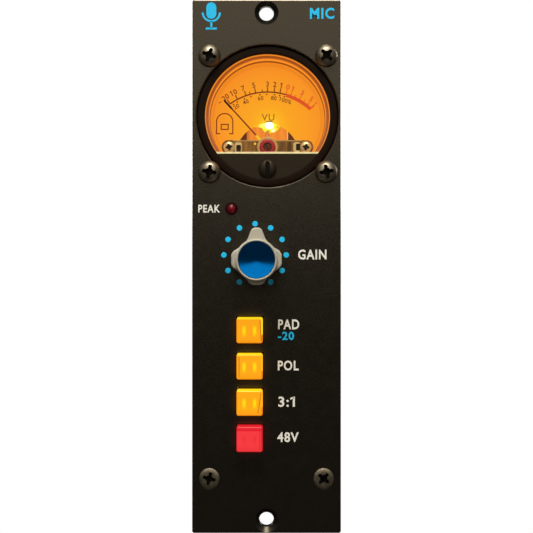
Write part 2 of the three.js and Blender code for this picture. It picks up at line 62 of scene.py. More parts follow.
def lamp(name, place, aim, size, power, colour):
    """A rectangular soft light at a place, turned to face a point."""
    facing = (Vector(aim) - Vector(place)).to_track_quat("-Z", "Y").to_euler()
    bpy.ops.object.light_add(type="AREA", location=place, rotation=facing)
    light = bpy.context.object
    light.name = light.data.name = name
    light.data.shape = "RECTANGLE"
    light.data.size, light.data.size_y = size
    light.data.energy = power
    light.data.color = colour
    light.visible_camera = False


WARM = (1, 0.93, 0.8)
lamp("front_softbox", (0, -0.8, 0.5), (0, 0, 0.5), (1.1, 0.82), 3.2, WARM)
lamp("overhead_key", (0, -0.42, 0.75), (0, 0, 0), (0.36, 0.28), 9.5, (1, 0.96, 0.86))
lamp("rear_softbox_left", (-0.65, 0.85, 0.4), (0, 0.08, 0), (0.7, 0.8), 14, (1, 0.98, 0.95))
lamp("rear_softbox_right", (0.65, 0.85, 0.4), (0, 0.08, 0), (0.7, 0.8), 14, (1, 0.98, 0.95))


class Wire:
    """One socket of a shader. Sums on it are written as sums, and add their own nodes."""

    def __init__(self, tree, socket):
        self.tree = tree
        self.socket = socket

    def node(self, kind, settings=None, inputs=None, take=0):
        """Adds a node with its settings and its sockets' values or wires, and takes one output."""
        made = self.tree.nodes.new(kind)
        for name, value in (settings or {}).items():
            if name == "stops":
                stops = made.color_ramp.elements
                for stop, (position, colour) in zip((stops[0], stops[1]), (value[0], value[-1])):
                    stop.position, stop.color = position, colour
                for position, colour in value[1:-1]:
                    stops.new(position).color = colour
            else:
                setattr(made, name, value)
        for key, value in (inputs or {}).items():
            if isinstance(value, Wire):
                self.tree.links.new(value.socket, made.inputs[key])
            else:
                made.inputs[key].default_value = value
        return Wire(self.tree, made.outputs[take])

    def sum(self, operation, *values):
        return self.node("ShaderNodeMath", {"operation": operation}, dict(enumerate(values)))

    def __add__(self, other):
        return self.sum("ADD", self, other)

    def __sub__(self, other):
        return self.sum("SUBTRACT", self, other)

    def __rsub__(self, other):
        return self.sum("SUBTRACT", other, self)

    def __mul__(self, other):
        return self.sum("MULTIPLY", self, other)

    def __truediv__(self, other):
        return self.sum("DIVIDE", self, other)

    def __abs__(self):
        return self.sum("ABSOLUTE", self)

    __radd__ = __add__
    __rmul__ = __mul__

    def into(self, shader, socket):
        self.tree.links.new(self.socket, shader.inputs[socket])


def ramp(value, stops):
    """Colours blended between stops, by a value from 0 to 1."""
    return value.node("ShaderNodeValToRGB", {"stops": stops}, {0: value})


studio = bpy.data.worlds.new("studio")
studio.use_nodes = True
bpy.context.scene.world = studio
studio_tree = studio.node_tree
sky = Wire(studio_tree, studio_tree.nodes.new("ShaderNodeTexCoord").outputs["Generated"])
height = sky.node("ShaderNodeSeparateXYZ", {}, {0: sky}, take=2)
shell = ramp(height * 0.5 + 0.5, [
    (0, (0.1, 0.096, 0.09, 1)), (0.5, (0.06, 0.057, 0.052, 1)), (0.72, (0.16, 0.15, 0.13, 1)),
    (1, (0.5, 0.48, 0.43, 1))])
dim = shell.node("ShaderNodeBackground", {}, {"Color": shell, "Strength": 1})
white = sky.node("ShaderNodeBackground", {}, {"Color": (1, 1, 1, 1), "Strength": 1})
seen = sky.node("ShaderNodeLightPath", {}, {}, take=0)
surroundings = sky.node("ShaderNodeMixShader", {}, {0: seen, 1: dim, 2: white})
surroundings.into(studio_tree.nodes["World Output"], "Surface")


def tone(red, green, blue):
    """A colour chart's values, from 0 to 255, as the linear values that shaders take."""
    return tuple(((value / 255 + 0.055) / 1.055) ** 2.4 if value > 10 else value / 3295
                 for value in (red, green, blue)) + (1,)


def new_finish(name, sockets):
    """A material with its shader's sockets set. Gives it, its Object coordinates and its shader."""
    material = bpy.data.materials.new(name)
    material.use_nodes = True
    tree = material.node_tree
    shader = tree.nodes["Principled BSDF"]
    for socket, value in sockets.items():
        shader.inputs[socket].default_value = value
    place = Wire(tree, tree.nodes.new("ShaderNodeTexCoord").outputs["Object"])
    return material, place, shader


def noise(place, scale, detail=2):
    """Even noise from 0 to 1. The scale is in cells to the metre."""
    return place.node("ShaderNodeTexNoise", {}, {"Vector": place, "Scale": scale, "Detail": detail})


def two_tone(factor, first, second):
    return factor.node("ShaderNodeMix", {"data_type": "RGBA"}, {0: factor, 6: first, 7: second}, take=2)


def bumped(height, distance, shader, strength=1):
    """Raises the surface by a wire's height, up to a distance in millimetres."""
    height.node("ShaderNodeBump", {}, {"Height": height, "Distance": distance * MM,
                                       "Strength": strength}).into(shader, "Normal")


def wear(piece, material):
    """Gives a piece one material all over."""
    piece.data.materials.clear()
    piece.data.materials.append(material)
    return piece


bpy.ops.mesh.primitive_plane_add(size=2.6, location=(0, -0.45, -0.3))
floor = bpy.context.object
floor.name = "studio_floor"
floor.visible_diffuse = floor.visible_glossy = False
pale, place, shader = new_finish("pale_floor", {"Roughness": 0.8})
two_tone(noise(place, 3), tone(236, 235, 232), tone(243, 242, 240)).into(shader, "Base Color")
wear(floor, pale)

# ----------------------------------------------------------------------------------- front panel
# The panel is a 3.2 mm aluminium plate with milled holes, sprayed satin black. Its paint is dense
# and has a fine grain. Round the lit buttons a faint amber and red glow is painted into it as emission.


def middle(node):
    """The middle of a CAD node, in millimetres."""
    low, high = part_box(node)
    return (low + high) / 2 / MM


def axis_of(node):
    """A point on the line along Y through a CAD node's middle."""
    low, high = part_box(node)
    return Vector((low.x + high.x, 0, low.z + high.z)) / 2 / MM


def choose(*pieces):
    """Selects these pieces alone, the first one active."""
    bpy.ops.object.select_all(action="DESELECT")
    for piece in pieces:
        piece.select_set(True)
    bpy.context.view_layer.objects.active = pieces[0]
    return pieces[0]


def line(name, points):
    """Draws a line of points, in millimetres, and stays in edit mode."""
    bpy.ops.object.select_all(action="DESELECT")
    bpy.ops.mesh.primitive_plane_add(size=MM, location=Vector(points[0]) * MM)
    piece = bpy.context.object
    piece.name = piece.data.name = name
    bpy.ops.object.mode_set(mode="EDIT")
    bpy.ops.mesh.merge(type="CENTER")
    for here, there in zip(points, points[1:]):
        step = (Vector(there) - Vector(here)) * MM
        bpy.ops.mesh.extrude_vertices_move(TRANSFORM_OT_translate={"value": step})
    bpy.ops.mesh.select_all(action="SELECT")
    return piece


def settle():
    """Puts the place, turn and size of the chosen pieces into their meshes."""
    bpy.ops.object.transform_apply(location=True, rotation=True, scale=True)


def closed(piece):
    """Merges the seam of a drawn piece, turns its faces outwards and leaves edit mode."""
    bpy.ops.mesh.select_all(action="SELECT")
    bpy.ops.mesh.remove_doubles(threshold=1e-7)
    bpy.ops.mesh.normals_make_consistent(inside=False)
    bpy.ops.object.mode_set(mode="OBJECT")
    settle()
    return piece


def plate(name, outline, near, far):
    """A plate with its outline in X and Z, reaching from near to far along Y."""
    points = [(x, near, z) for x, z in outline]
    piece = line(name, points + points[:1])
    bpy.ops.mesh.remove_doubles(threshold=1e-7)
    bpy.ops.mesh.edge_face_add()
    bpy.ops.mesh.extrude_region_move(TRANSFORM_OT_translate={"value": (0, (far - near) * MM, 0)})
    return closed(piece)


AXES = {"X": Vector((1, 0, 0)), "Y": Vector((0, 1, 0)), "Z": Vector((0, 0, 1))}


def turned(name, profile, centre, along="Y", steps=64):
    """A shape turned about an axis through centre, from points (radius, distance along it)."""
    axis = AXES[along]
    out = AXES["X" if along == "Z" else "Z"]
    piece = line(name, [centre + out * radius + axis * distance for radius, distance in profile])
    bpy.ops.mesh.spin(steps=steps, angle=2 * pi, center=centre * MM, axis=axis)
    return closed(piece)


def rod(radius, near, far, centre, along="Y", steps=64):
    """A plain round cutter from near to far along an axis."""
    return turned("cutter", [(0, near), (radius, near), (radius, far), (0, far)], centre, along, steps)


def smooth(piece, angle=35):
    """Shades a piece smooth up to an angle, with its large faces kept flat."""
    choose(piece)
    bpy.ops.object.shade_smooth_by_angle(angle=radians(angle))
    even = piece.modifiers.new("flat_faces", "WEIGHTED_NORMAL")
    even.keep_sharp = True
    bpy.ops.object.modifier_apply(modifier=even.name)
    return piece


def soften(piece, width, segments=2, limit=40):
    """Rounds the sharp edges of a piece and shades it smooth."""
    choose(piece)
    bevel = piece.modifiers.new("soft_edges", "BEVEL")
    bevel.width = width * MM
    bevel.segments = segments
    bevel.limit_method = "ANGLE"
    bevel.angle_limit = radians(limit)
    bpy.ops.object.modifier_apply(modifier=bevel.name)
    return smooth(piece)


def combine(piece, others, operation="DIFFERENCE"):
    """Cuts other pieces out of one, or unites them with it, and removes them."""
    for other in others:
        choose(piece)
        change = piece.modifiers.new("combine", "BOOLEAN")
        change.operation = operation
        change.solver = "EXACT"
        change.object = other
        bpy.ops.object.modifier_apply(modifier=change.name)
        bpy.data.objects.remove(other)
    return choose(piece)


def sunk(piece, cutter, finish, inner, angle=30):
    """Cuts a recess in a piece of one finish. The recess itself takes a finish of its own."""
    wear(piece, finish).data.materials.append(inner)
    wear(cutter, finish).data.materials.append(inner)
    for face in cutter.data.polygons:
        face.material_index = 1
    return smooth(combine(piece, [cutter]), angle)


def rounded(width, height, radius, centre=(0, 0), steps=6):
    """The outline of a rectangle with rounded corners."""
    outline = []
    for quarter, (side, up) in enumerate(((1, 1), (-1, 1), (-1, -1), (1, -1))):
        corner = (centre[0] + side * (width / 2 - radius), centre[1] + up * (height / 2 - radius))
        for step in range(steps + 1):
            angle = (quarter + step / steps) * pi / 2
            outline.append((corner[0] + radius * cos(angle), corner[1] + radius * sin(angle)))
    return outline


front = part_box("front_panel")[0].y / MM
meter = axis_of("meter_lens")
knob_axis = axis_of("pot_shaft")
led_axis = axis_of("peak_led")
BUTTONS = ("pad", "polarity", "tap", "phantom")
METER_SCREWS = ("upper_left", "upper_right", "lower_left", "lower_right")
PANEL_SCREWS = ("left", "right")
RACK_HOLE_Z = 63.5
RAIL_LIP_Z = 58.7

panel = plate("painted_panel", rounded(37.2, 133.35, 0.6), front, 0)
soften(panel, 0.22)


def hole(centre, radius, sink, depth, steps=48):
    """A cutter for a hole through the panel with a countersunk or eased front edge."""
    profile = [(0, front - 1), (sink + 1, front - 1), (sink, front), (radius, front + depth), (radius, 1),
        (0, 1)]
    return turned("cutter", profile, Vector((centre[0], 0, centre[2])), steps=steps)


cutters = [hole(knob_axis, 3.35, 3.5, 0.15), hole(led_axis, 1.45, 1.57, 0.12)]
cutters += [hole((0, 0, side * RACK_HOLE_Z), 1.85, 3, 1.15) for side in (-1, 1)]
cutters += [hole(middle("panel_screw_" + side), 1.65, 2.7, 1.5) for side in PANEL_SCREWS]
cutters += [hole(middle("meter_screw_" + corner), 1.65, 1.75, 0.1) for corner in METER_SCREWS]
for button in BUTTONS:
    spot = middle(button + "_button_cap")
    cutters.append(plate("cutter", rounded(7.1, 6.8, 0.35, (spot.x, spot.z), 3), front - 1, 1))
combine(panel, cutters)
bpy.ops.object.select_all(action="DESELECT")
bpy.ops.mesh.primitive_cube_add(size=1)
relief = bpy.context.object
relief.scale = Vector((60, 2.15, 2 * RAIL_LIP_Z)) * MM
relief.location = Vector((0, 0.925, 0)) * MM
settle()
combine(panel, [relief])
smooth(panel, 16)


def from_axis(place, centre):
    """Distance in millimetres from a line along Y through a point."""
    offset = place.node("ShaderNodeVectorMath", {"operation": "SUBTRACT"}, {0: place, 1: centre * MM})
    flat = offset.node("ShaderNodeVectorMath", {"operation": "MULTIPLY"}, {0: offset, 1: (1000, 0, 1000)})
    return flat.node("ShaderNodeVectorMath", {"operation": "LENGTH"}, {0: flat}, take=1)


def measured(place, axis):
    """The place along one axis, in millimetres."""
    return place.node("ShaderNodeSeparateXYZ", {}, {0: place}, take="XYZ".index(axis)) * 1000


def fade(value, start, end):
    """A smooth step from 0 at the start to 1 at the end."""
    return value.node("ShaderNodeMapRange", {"interpolation_type": "SMOOTHSTEP"}, {0: value, 1: start,
        2: end})


paint, place, shader = new_finish("satin_black_paint", {
    "Specular IOR Level": 0.76, "Specular Tint": (1, 0.87, 0.66, 1), "Emission Strength": 1})
grain = noise(place, 3600, 3)
cloud = noise(place, 420, 4)
two_tone(cloud, (0.001, 0.0009, 0.0007, 1), (0.0022, 0.0019, 0.0015, 1)).into(shader, "Base Color")
(0.2 + 0.07 * grain + 0.06 * cloud).into(shader, "Roughness")
bumped(grain * 0.7 + noise(place, 9000, 1) * 0.3, 0.02, shader)
# Painted light: emission paints a faint amber and red glow on the paint round each button.
red_spot = middle("phantom_button_cap")
painted_amber_glow = sum(1 - fade(from_axis(place, middle(name + "_button_cap")), 2.6, 6.5) for name in BUTTONS[:3])
painted_red_glow = 1 - fade(from_axis(place, red_spot), 2.6, 6.5)
painted_button_glow = two_tone(painted_amber_glow * 0.55, (0, 0, 0, 1), (0.022, 0.0085, 0.001, 1))
painted_button_glow = two_tone(painted_red_glow * 0.55, painted_button_glow, (0.022, 0.002, 0.002, 1))
painted_button_glow.into(shader, "Emission Color")
milled, place, shader = new_finish("milled_aluminium", {"Metallic": 1})
marks = noise(place, 5200, 2)
two_tone(marks, tone(150, 140, 122), tone(100, 92, 78)).into(shader, "Base Color")
(0.4 + 0.15 * marks).into(shader, "Roughness")
sunk(panel, hole(meter, 17.9, 18.12, 0.22, 128), paint, milled, 16)
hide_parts("front_panel")
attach(panel, "module")

# -------------------------------------------------------------------------------- panel printing
# The legends are screen printed on the paint in warm white and sky blue ink, a thin raised film.
# A ring of eleven dots marks the travel of the gain knob.

INK = 0.03


def lettering(words, height, centre, near, width=None, bold=0.0, turn=0.0, thick=INK, spread=1.0):
    """Stands words on the X Z plane, centred on a point and facing the front, as a thin mesh."""
    bpy.ops.object.select_all(action="DESELECT")
    bpy.ops.object.text_add()
    letters = bpy.context.object
    letters.data.body = words
    letters.data.resolution_u = 3
    letters.data.offset = bold
    letters.data.space_character = spread
    letters.data.extrude = 0.01
    bpy.ops.object.convert(target="MESH")
    bpy.ops.object.origin_set(type="GEOMETRY_ORIGIN", center="BOUNDS")
    size = letters.dimensions.copy()
    tall = height * MM / size.y
    wide = width * MM / size.x if width else tall
    letters.scale = (wide, tall, thick * MM / size.z)
    letters.location = Vector((centre[0], near - thick / 2, centre[1])) * MM
    letters.rotation_euler = (pi / 2, radians(turn), 0)
    settle()
    bpy.ops.object.mode_set(mode="EDIT")
    closed(letters)
    if not words.startswith("1"):
        return letters
    # The figure 1 is a plain bar in this alphabet, so it is given its flag.
    left, top = -size.x * wide / MM / 2, height / 2
    sweep = [(left - 0.2 * height, top - 0.27 * height), (left + 0.07 * height, top - 0.05 * height)]
    ends = [(centre[0] + u * cos(radians(turn)) + v * sin(radians(turn)),
             centre[1] + v * cos(radians(turn)) - u * sin(radians(turn))) for u, v in sweep]
    return joined("flagged", [letters, bar_mark(*ends[0], *ends[1], 0.13 * height, near - thick, near)])


def joined(name, pieces):
    """Joins pieces to one named mesh."""
    choose(*pieces)
    bpy.ops.object.join()
    piece = bpy.context.object
    piece.name = piece.data.name = name
    return piece


def legend(words, left, right, bottom, top, bold=0.024):
    return lettering(words, top - bottom, ((left + right) / 2, (top + bottom) / 2), front, right - left, bold,
                     spread=1.13)


def bar_mark(x0, z0, x1, z1, width, near, far):
    """A straight stroke between two points."""
    along = Vector((x1 - x0, z1 - z0)).normalized()
    side = Vector((-along.y, along.x)) * width / 2
    corners = [(x0 + side.x, z0 + side.y), (x1 + side.x, z1 + side.y), (x1 - side.x, z1 - side.y),
               (x0 - side.x, z0 - side.y)]
    return plate("stroke", corners, near, far)


def arc_mark(centre, radius, width, start, end, near, far, steps=24):
    """A stroke along an arc. Angles are clockwise from the top, in degrees."""
    def edge(reach, angles):
        return [(centre[0] + reach * sin(radians(angle)), centre[1] + reach * cos(radians(angle)))
                for angle in angles]
    sweep = [start + (end - start) * step / steps for step in range(steps + 1)]
    outline = edge(radius + width / 2, sweep) + edge(radius - width / 2, sweep[::-1])
    return plate("arc", outline, near, far)


white_print = joined("panel_print_white", [
    legend("PEAK", -17.06, -11.6, 13.5, 15.45),
    legend("GAIN", 7.9, 15.0, 1.75, 4.25),
    legend("PAD", 2.9, 8.18, -15.7, -13.2),
    legend("POL", 2.83, 8.05, -26.0, -23.5),
    legend("3:1", 2.96, 7.1, -35.1, -32.5),
    bar_mark(5.95, -33.15, 6.75, -32.68, 0.42, front - INK, front),
    legend("48V", 2.69, 8.05, -43.9, -41.4),
])

# A studio microphone on its yoke stands in the corner, and the word for it in the other.
mark_x, mark_z = -13.8, 62.6
film = (front - INK, front)
cyan_print = joined("panel_print_cyan", [
    plate("capsule", rounded(2.5, 4.1, 1.24, (mark_x, mark_z + 1.4)), *film),
    arc_mark((mark_x, mark_z + 0.9), 2.15, 0.5, 90, 270, *film),
    bar_mark(mark_x, mark_z - 1.3, mark_x, mark_z - 3, 0.5, *film),
    bar_mark(mark_x - 1.4, mark_z - 3.1, mark_x + 1.4, mark_z - 3.1, 0.5, *film),
    legend("MIC", 10.85, 16.95, 61.9, 64.7, 0.03),
    legend("-20", 2.83, 6.9, -18.4, -16.3),
])


def ring_places(centre, radius, angles):
    return [(centre[0] + radius * sin(radians(angle)), centre[1] + radius * cos(radians(angle)))
            for angle in angles]


def copies(piece, moves):
    """Copies a piece to further places, in millimetres from its own."""
    made = [piece]
    for move in moves:
        choose(piece)
        bpy.ops.object.duplicate(linked=False)
        copy = bpy.context.object
        copy.location = Vector(move) * MM
        settle()
        made.append(copy)
    return made


DOT_RING = (-2.86, 2.88)
spots = ring_places(DOT_RING, 7.8, range(-150, 151, 30))
dot = turned("dot", [(0, -INK), (0.65, -INK), (0.69, 0), (0, 0)], Vector((spots[0][0], front, spots[0][1])),
    steps=32)
dots = joined("gain_dots", copies(dot, [(x - spots[0][0], 0, z - spots[0][1]) for x, z in spots[1:]]))


def ink(name, light, dark, roughness=0.45):
    """A printing ink, a little thin in places."""
    material, place, shader = new_finish(name, {"Specular IOR Level": 0.3})
    two_tone(fade(noise(place, 2600, 4), 0.45, 0.75), light, dark).into(shader, "Base Color")
    (roughness + 0.15 * noise(place, 5000)).into(shader, "Roughness")
    return material


white_ink = ink("warm_white_ink", (0.8, 0.79, 0.74, 1), (0.68, 0.67, 0.63, 1))
cyan_ink = ink("sky_blue_ink", (0.008, 0.5, 0.88, 1), (0.006, 0.38, 0.72, 1))
for piece, colour in ((white_print, white_ink), (cyan_print, cyan_ink), (dots, cyan_ink)):
    wear(piece, colour)
    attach(piece, "module")

# --------------------------------------------------------------------------------------- screws
# Pan head and countersunk machine screws hold the meter, the card and the tray. They are steel
# with a gunmetal finish, worn a little bright, and their cross recesses stopped at any angle.


def cross_recess(centre, span, width, near, far, turn=0):
    """A cutter for a four-lobed driver recess."""
    arms = [plate("arm", rounded(span, width, width / 2 - 0.01), near, far),
            plate("arm", rounded(width, span, width / 2 - 0.01), near, far)]
    heart = plate("heart", rounded(width * 1.7, width * 1.7, width * 0.2), near, far)
    cross = combine(arms[0], [arms[1], heart], "UNION")
    choose(cross)
    bpy.ops.transform.rotate(value=-radians(turn), orient_axis="Y", center_override=(0, 0, 0))
    cross.location = centre * MM
    settle()
    return cross


def dome(radius, height, rim):
    """The profile of a domed head that rises by a height from its rim."""
    steps = 10
    points = []
    for step in range(steps + 1):
        angle = step / steps * pi / 2
        points.append((radius * sin(angle) ** 0.9, rim - height * cos(angle)))
    return points


def pan_screw(name, centre, radius, height, rim, shank, length, recess, turn, metal, shade):
    profile = dome(radius, height * 0.88, rim - height * 0.12)
    profile += [(radius, rim), (shank, rim), (shank, rim + length), (0, rim + length)]
    head = turned(name, profile, centre, steps=48)
    span, width, depth = recess
    cutter = cross_recess(centre, span, width, rim - height - 1, rim - height + depth, turn)
    return sunk(head, cutter, metal, shade)


def plated(name, light, dark, roughness, grain_scale, worn, tint=(1, 0.95, 0.88, 1)):
    """Bright or dark plated metal, cloudy, scratched fine and a little worn."""
    material, place, shader = new_finish(name, {"Metallic": 1, "Specular Tint": tint})
    cloud = noise(place, grain_scale * 0.2, 4)
    speck = fade(noise(place, grain_scale, 5), 0.55, 0.8)
    two_tone(cloud * 0.7 + speck * worn, dark, light).into(shader, "Base Color")
    (roughness + 0.16 * noise(place, grain_scale * 0.5, 3)).into(shader, "Roughness")
    bumped(noise(place, grain_scale * 1.4, 4), 0.01, shader)
    return material


gunmetal = plated("gunmetal_steel", tone(178, 166, 146), tone(80, 72, 60), 0.34, 2500, 0.5)
# The cross recesses take a near-black finish: painted shade in the recess.
recess_painted_shade = plated("screw_recess_painted_shade", tone(44, 38, 32), tone(14, 12, 10), 0.55, 2500, 0.4)
TURNS = {"upper_left": 20, "upper_right": 45, "lower_left": 10, "lower_right": -10}
for corner in METER_SCREWS:
    node = "meter_screw_" + corner
    screw = pan_screw("gunmetal_" + node, axis_of(node), 2.8, 2.1, front - 0.05, 1.45, 7.6,
                      (3.6, 0.95, 1.5), TURNS[corner], gunmetal, recess_painted_shade)
    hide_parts(node)
    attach(screw, "module")

for side, turn in zip(PANEL_SCREWS, (15, 40)):
    node = "panel_screw_" + side
    axis = axis_of(node) + Vector((0, front, 0))
    screw = turned("gunmetal_" + node, [(0, -0.12), (1.6, -0.08), (2.45, 0.03), (2.58, 0.12), (1.45, 1.45),
                                        (1.45, 6.5), (0, 6.5)], axis, steps=48)
    sunk(screw, cross_recess(axis, 3.3, 0.85, -0.5, 0.9, turn), gunmetal, recess_painted_shade)
    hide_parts(node)
    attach(screw, "module")

# ------------------------------------------------------------------------------- meter housing
# The meter's bezel and case are moulded in black plastic. The case has a liner of amber film whose
# lamplit glow is painted into its emission, in bright and dark rings between the dial and the clear lens.


def moulded(name, colour, paler, roughness=0.4, gloss=0.4, grain_scale=2500, bump=0.012):
    """Moulded plastic with a fine spark-eroded grain."""
    material, place, shader = new_finish(name, {"Specular IOR Level": gloss})
    two_tone(noise(place, 300, 4), colour, paler).into(shader, "Base Color")
    grain = noise(place, grain_scale, 3)
    (roughness + 0.18 * grain).into(shader, "Roughness")
    bumped(grain, bump, shader)
    return material


black_plastic = moulded("black_plastic", (0.004, 0.0034, 0.003, 1), (0.008, 0.007, 0.006, 1), 0.42)

# The bezel's black is tinted reddish brown: a painted amber glow from the lit dial.
bezel_black_painted_glow = moulded("bezel_plastic_painted_amber_glow", (0.0075, 0.003, 0.0013, 1),
    (0.0105, 0.0046, 0.0022, 1), 0.36, 0.07)
bezel = turned("meter_bezel_ring", [
    (15.95, -0.05), (15.95, -2.05), (15.74, -2.1), (15.68, -2.3), (15.8, -2.44), (16.1, -2.5), (17.1, -2.5),
    (17.45, -2.4), (17.6, -2.15), (17.6, -0.05), (15.95, -0.05)], meter, steps=128)
wear(smooth(bezel), bezel_black_painted_glow)
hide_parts("meter_bezel")
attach(bezel, "module")
wear(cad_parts["meter_case"], black_plastic)

liner = turned("meter_liner", [
    (14.98, 0.08), (15.9, 0.08), (15.9, 0.02), (14.85, 0.02), (14.85, 6.45), (14.98, 6.45), (14.98, 0.08)],
    meter, steps=128)
amber_film, place, shader = new_finish("lit_amber_film", {
    "Base Color": tone(60, 25, 6), "Roughness": 0.5, "Emission Strength": 1})
reach = from_axis(place, meter)
depth = measured(place, "Y")
wall = ramp(depth / 6.45, [
    (0.0, tone(190, 95, 22)), (0.14, tone(215, 112, 28)), (0.2, tone(247, 152, 38)),
    (0.66, tone(240, 140, 32)), (0.72, tone(130, 48, 10)), (0.9, tone(92, 30, 8)), (1, tone(120, 45, 12))])
flange = ramp(reach - 14.85, [
    (0, tone(176, 86, 20)), (0.55, tone(150, 66, 16)), (0.68, tone(205, 105, 25)), (0.8, tone(250, 160, 50)),
    (1, tone(225, 120, 30))])
colour = two_tone(fade(reach, 14.86, 14.9), wall, flange)
stain = noise(place, 260, 3)
two_tone(stain * 0.2, colour, tone(150, 70, 16)).into(shader, "Emission Color")
bumped(stain, 0.02, shader)
wear(smooth(liner), amber_film)
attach(liner, "module")

lens_finish, place, shader = new_finish("clear_lens", {
    "Base Color": (1, 0.95, 0.86, 1), "Specular IOR Level": 1})
smudge = noise(place, 120, 4)
(0.04 + 0.05 * smudge).into(shader, "Roughness")
clear = place.node("ShaderNodeBsdfTransparent", {}, {"Color": (1, 0.99, 0.97, 1)})
sheen = Wire(place.tree, shader.outputs[0])
lens_surface = place.node("ShaderNodeMixShader", {}, {0: 0.004 + 0.007 * smudge, 1: clear, 2: sheen})
lens_surface.into(place.tree.nodes["Material Output"], "Surface")
lens = turned("clear_meter_lens", [(0, 0), (15.8, 0), (15.8, -0.75), (15.6, -0.95), (0, -1)], meter, steps=96)
combine(lens, [rod(1.2, -2, 1, meter + Vector((0, 0, -13.15)), steps=32)])
wear(smooth(lens), lens_finish)
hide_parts("meter_lens")
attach(lens, "module")

# The mask over the movement is a blackened plate. Its top edge was left bare; its shine is a painted
# highlight.
MASK_TOP = -9.17


def below_chord(radius, chord, steps=48):
    """The outline of the part of a disc that lies below a level line."""
    start = asin(chord / radius)
    sweep = -pi - 2 * start
    return [(meter.x + radius * cos(start + sweep * step / steps),
             meter.z + radius * sin(start + sweep * step / steps)) for step in range(steps + 1)]


mask = plate("meter_mask_plate", below_chord(15.8, MASK_TOP - 0.1), -2, -1.1)
combine(mask, [rod(1.2, -5, 1, meter + Vector((0, 0, -13.15)), steps=32)])
soften(mask, 0.08)
mask_paint, place, shader = new_finish("mask_black", {
    "Specular IOR Level": 0.3, "Specular Tint": (1, 0.8, 0.55, 1)})
fine = noise(place, 5200, 3)
two_tone(fine, (0.002, 0.0014, 0.0008, 1), (0.014, 0.0098, 0.006, 1)).into(shader, "Base Color")
(0.42 + 0.2 * fine).into(shader, "Roughness")
bumped(fine, 0.03, shader)
wear(mask, mask_paint)
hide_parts("meter_mask")
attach(mask, "module")

half_chord = 13.1
bare_edge = plate("mask_bare_edge", rounded(2 * half_chord, 0.5, 0.1, (meter.x, meter.z + MASK_TOP + 0.02)),
    -2.04, -1.15)
soften(bare_edge, 0.1)
# The strip's emission is a painted highlight along the mask's top edge.
bare_edge_painted_highlight, place, shader = new_finish("ivory_edge_painted_highlight", {"Roughness": 0.35, "Emission Strength": 1})
streak = noise(place, 900, 4)
two_tone(streak, tone(226, 214, 170), tone(170, 158, 120)).into(shader, "Base Color")
two_tone(streak, tone(140, 128, 84), tone(104, 92, 56)).into(shader, "Emission Color")
bumped(streak, 0.02, shader)
wear(bare_edge, bare_edge_painted_highlight)
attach(bare_edge, "module")

# ------------------------------------------------------------------------------------ zero screw
# The zero adjuster is a glossy black plastic screw with one broad slot. It turns in the lens.
zero = axis_of("meter_zero_screw")
zero_head = turned("zero_adjuster", [
    (0, -3), (0.7, -2.98), (1.3, -2.9), (1.8, -2.72), (2.12, -2.5), (2.25, -2.25), (2.25, -2.1), (1, -2.1),
    (1, 1.6), (0, 1.6)], zero, steps=48)
olive_black, place, shader = new_finish("olive_black_plastic", {
    "Specular IOR Level": 0.3, "Specular Tint": (1, 0.8, 0.55, 1)})
speckle = noise(place, 3800, 3)
two_tone(speckle, (0.005, 0.0036, 0.002, 1), (0.017, 0.012, 0.007, 1)).into(shader, "Base Color")
(0.34 + 0.1 * speckle).into(shader, "Roughness")
bumped(speckle, 0.015, shader)
# The slot takes a near-black finish: painted shade in the slot.
slot_painted_shade = moulded("slot_painted_shade", (0.0015, 0.001, 0.0006, 1), (0.003, 0.002, 0.0012, 1), 0.12, 0.15)
sunk(zero_head, plate("cutter", rounded(1.1, 3.9, 0.5, (zero.x, zero.z)), -4, -2.3), olive_black, slot_painted_shade)
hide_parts("meter_zero_screw")
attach(zero_head, "zero_screw")

# --------------------------------------------------------------------------------- meter dial
# The dial is amber plastic, lit through from behind, brightest round the lamp. Its level scale is
# printed in dark brown and red, and a small moving coil sign stands at its left.
lamp_axis = axis_of("meter_lamp")
dial_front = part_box("meter_dial")[0].y / MM

dial_finish, place, shader = new_finish("lit_amber_dial", {
    "Base Color": (0.02, 0.007, 0.001, 1), "Roughness": 0.55, "Specular IOR Level": 0.08,
    "Emission Strength": 1})
reach = from_axis(place, meter)
glow = from_axis(place, lamp_axis)
near_lamp = ramp(glow / 18, [
    (0, tone(255, 240, 70)), (0.09, tone(255, 210, 20)), (0.16, tone(252, 180, 12)),
    (0.3, tone(250, 166, 15)),
    (0.55, tone(249, 157, 20)), (0.8, tone(247, 145, 24)), (1, tone(243, 134, 26))])
# A darker ring near the dial's edge, and painted shade that darkens the dial towards its rim.
dark_ring = fade(reach, 13.6, 13.95) * (1 - fade(reach, 13.95, 14.3))
shade_in = fade(reach, 13.9, 14.85)
cloud = noise(place, 90, 3)
body = two_tone(dark_ring * 0.35 + shade_in * 0.25, near_lamp, tone(214, 104, 24))
two_tone(cloud * 0.12, body, tone(236, 128, 26)).into(shader, "Emission Color")
bumped(noise(place, 1500, 3), 0.01, shader)
wear(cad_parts["meter_dial"], dial_finish)

SCALE = (meter.x, 28.02)
ink_layer = (dial_front - 0.06, dial_front - 0.01)


def tick(angle, inner, outer, width):
    (x0, z0), (x1, z1) = ring_places(SCALE, inner, [angle]) + ring_places(SCALE, outer, [angle])
    return bar_mark(x0, z0, x1, z1, width, *ink_layer)


def numeral(words, angle, radius, height, bold=0.012):
    [(x, z)] = ring_places(SCALE, radius, [angle])
    return lettering(words, height, (x, z), dial_front - 0.01, turn=angle, bold=bold, thick=0.05, spread=1.06)


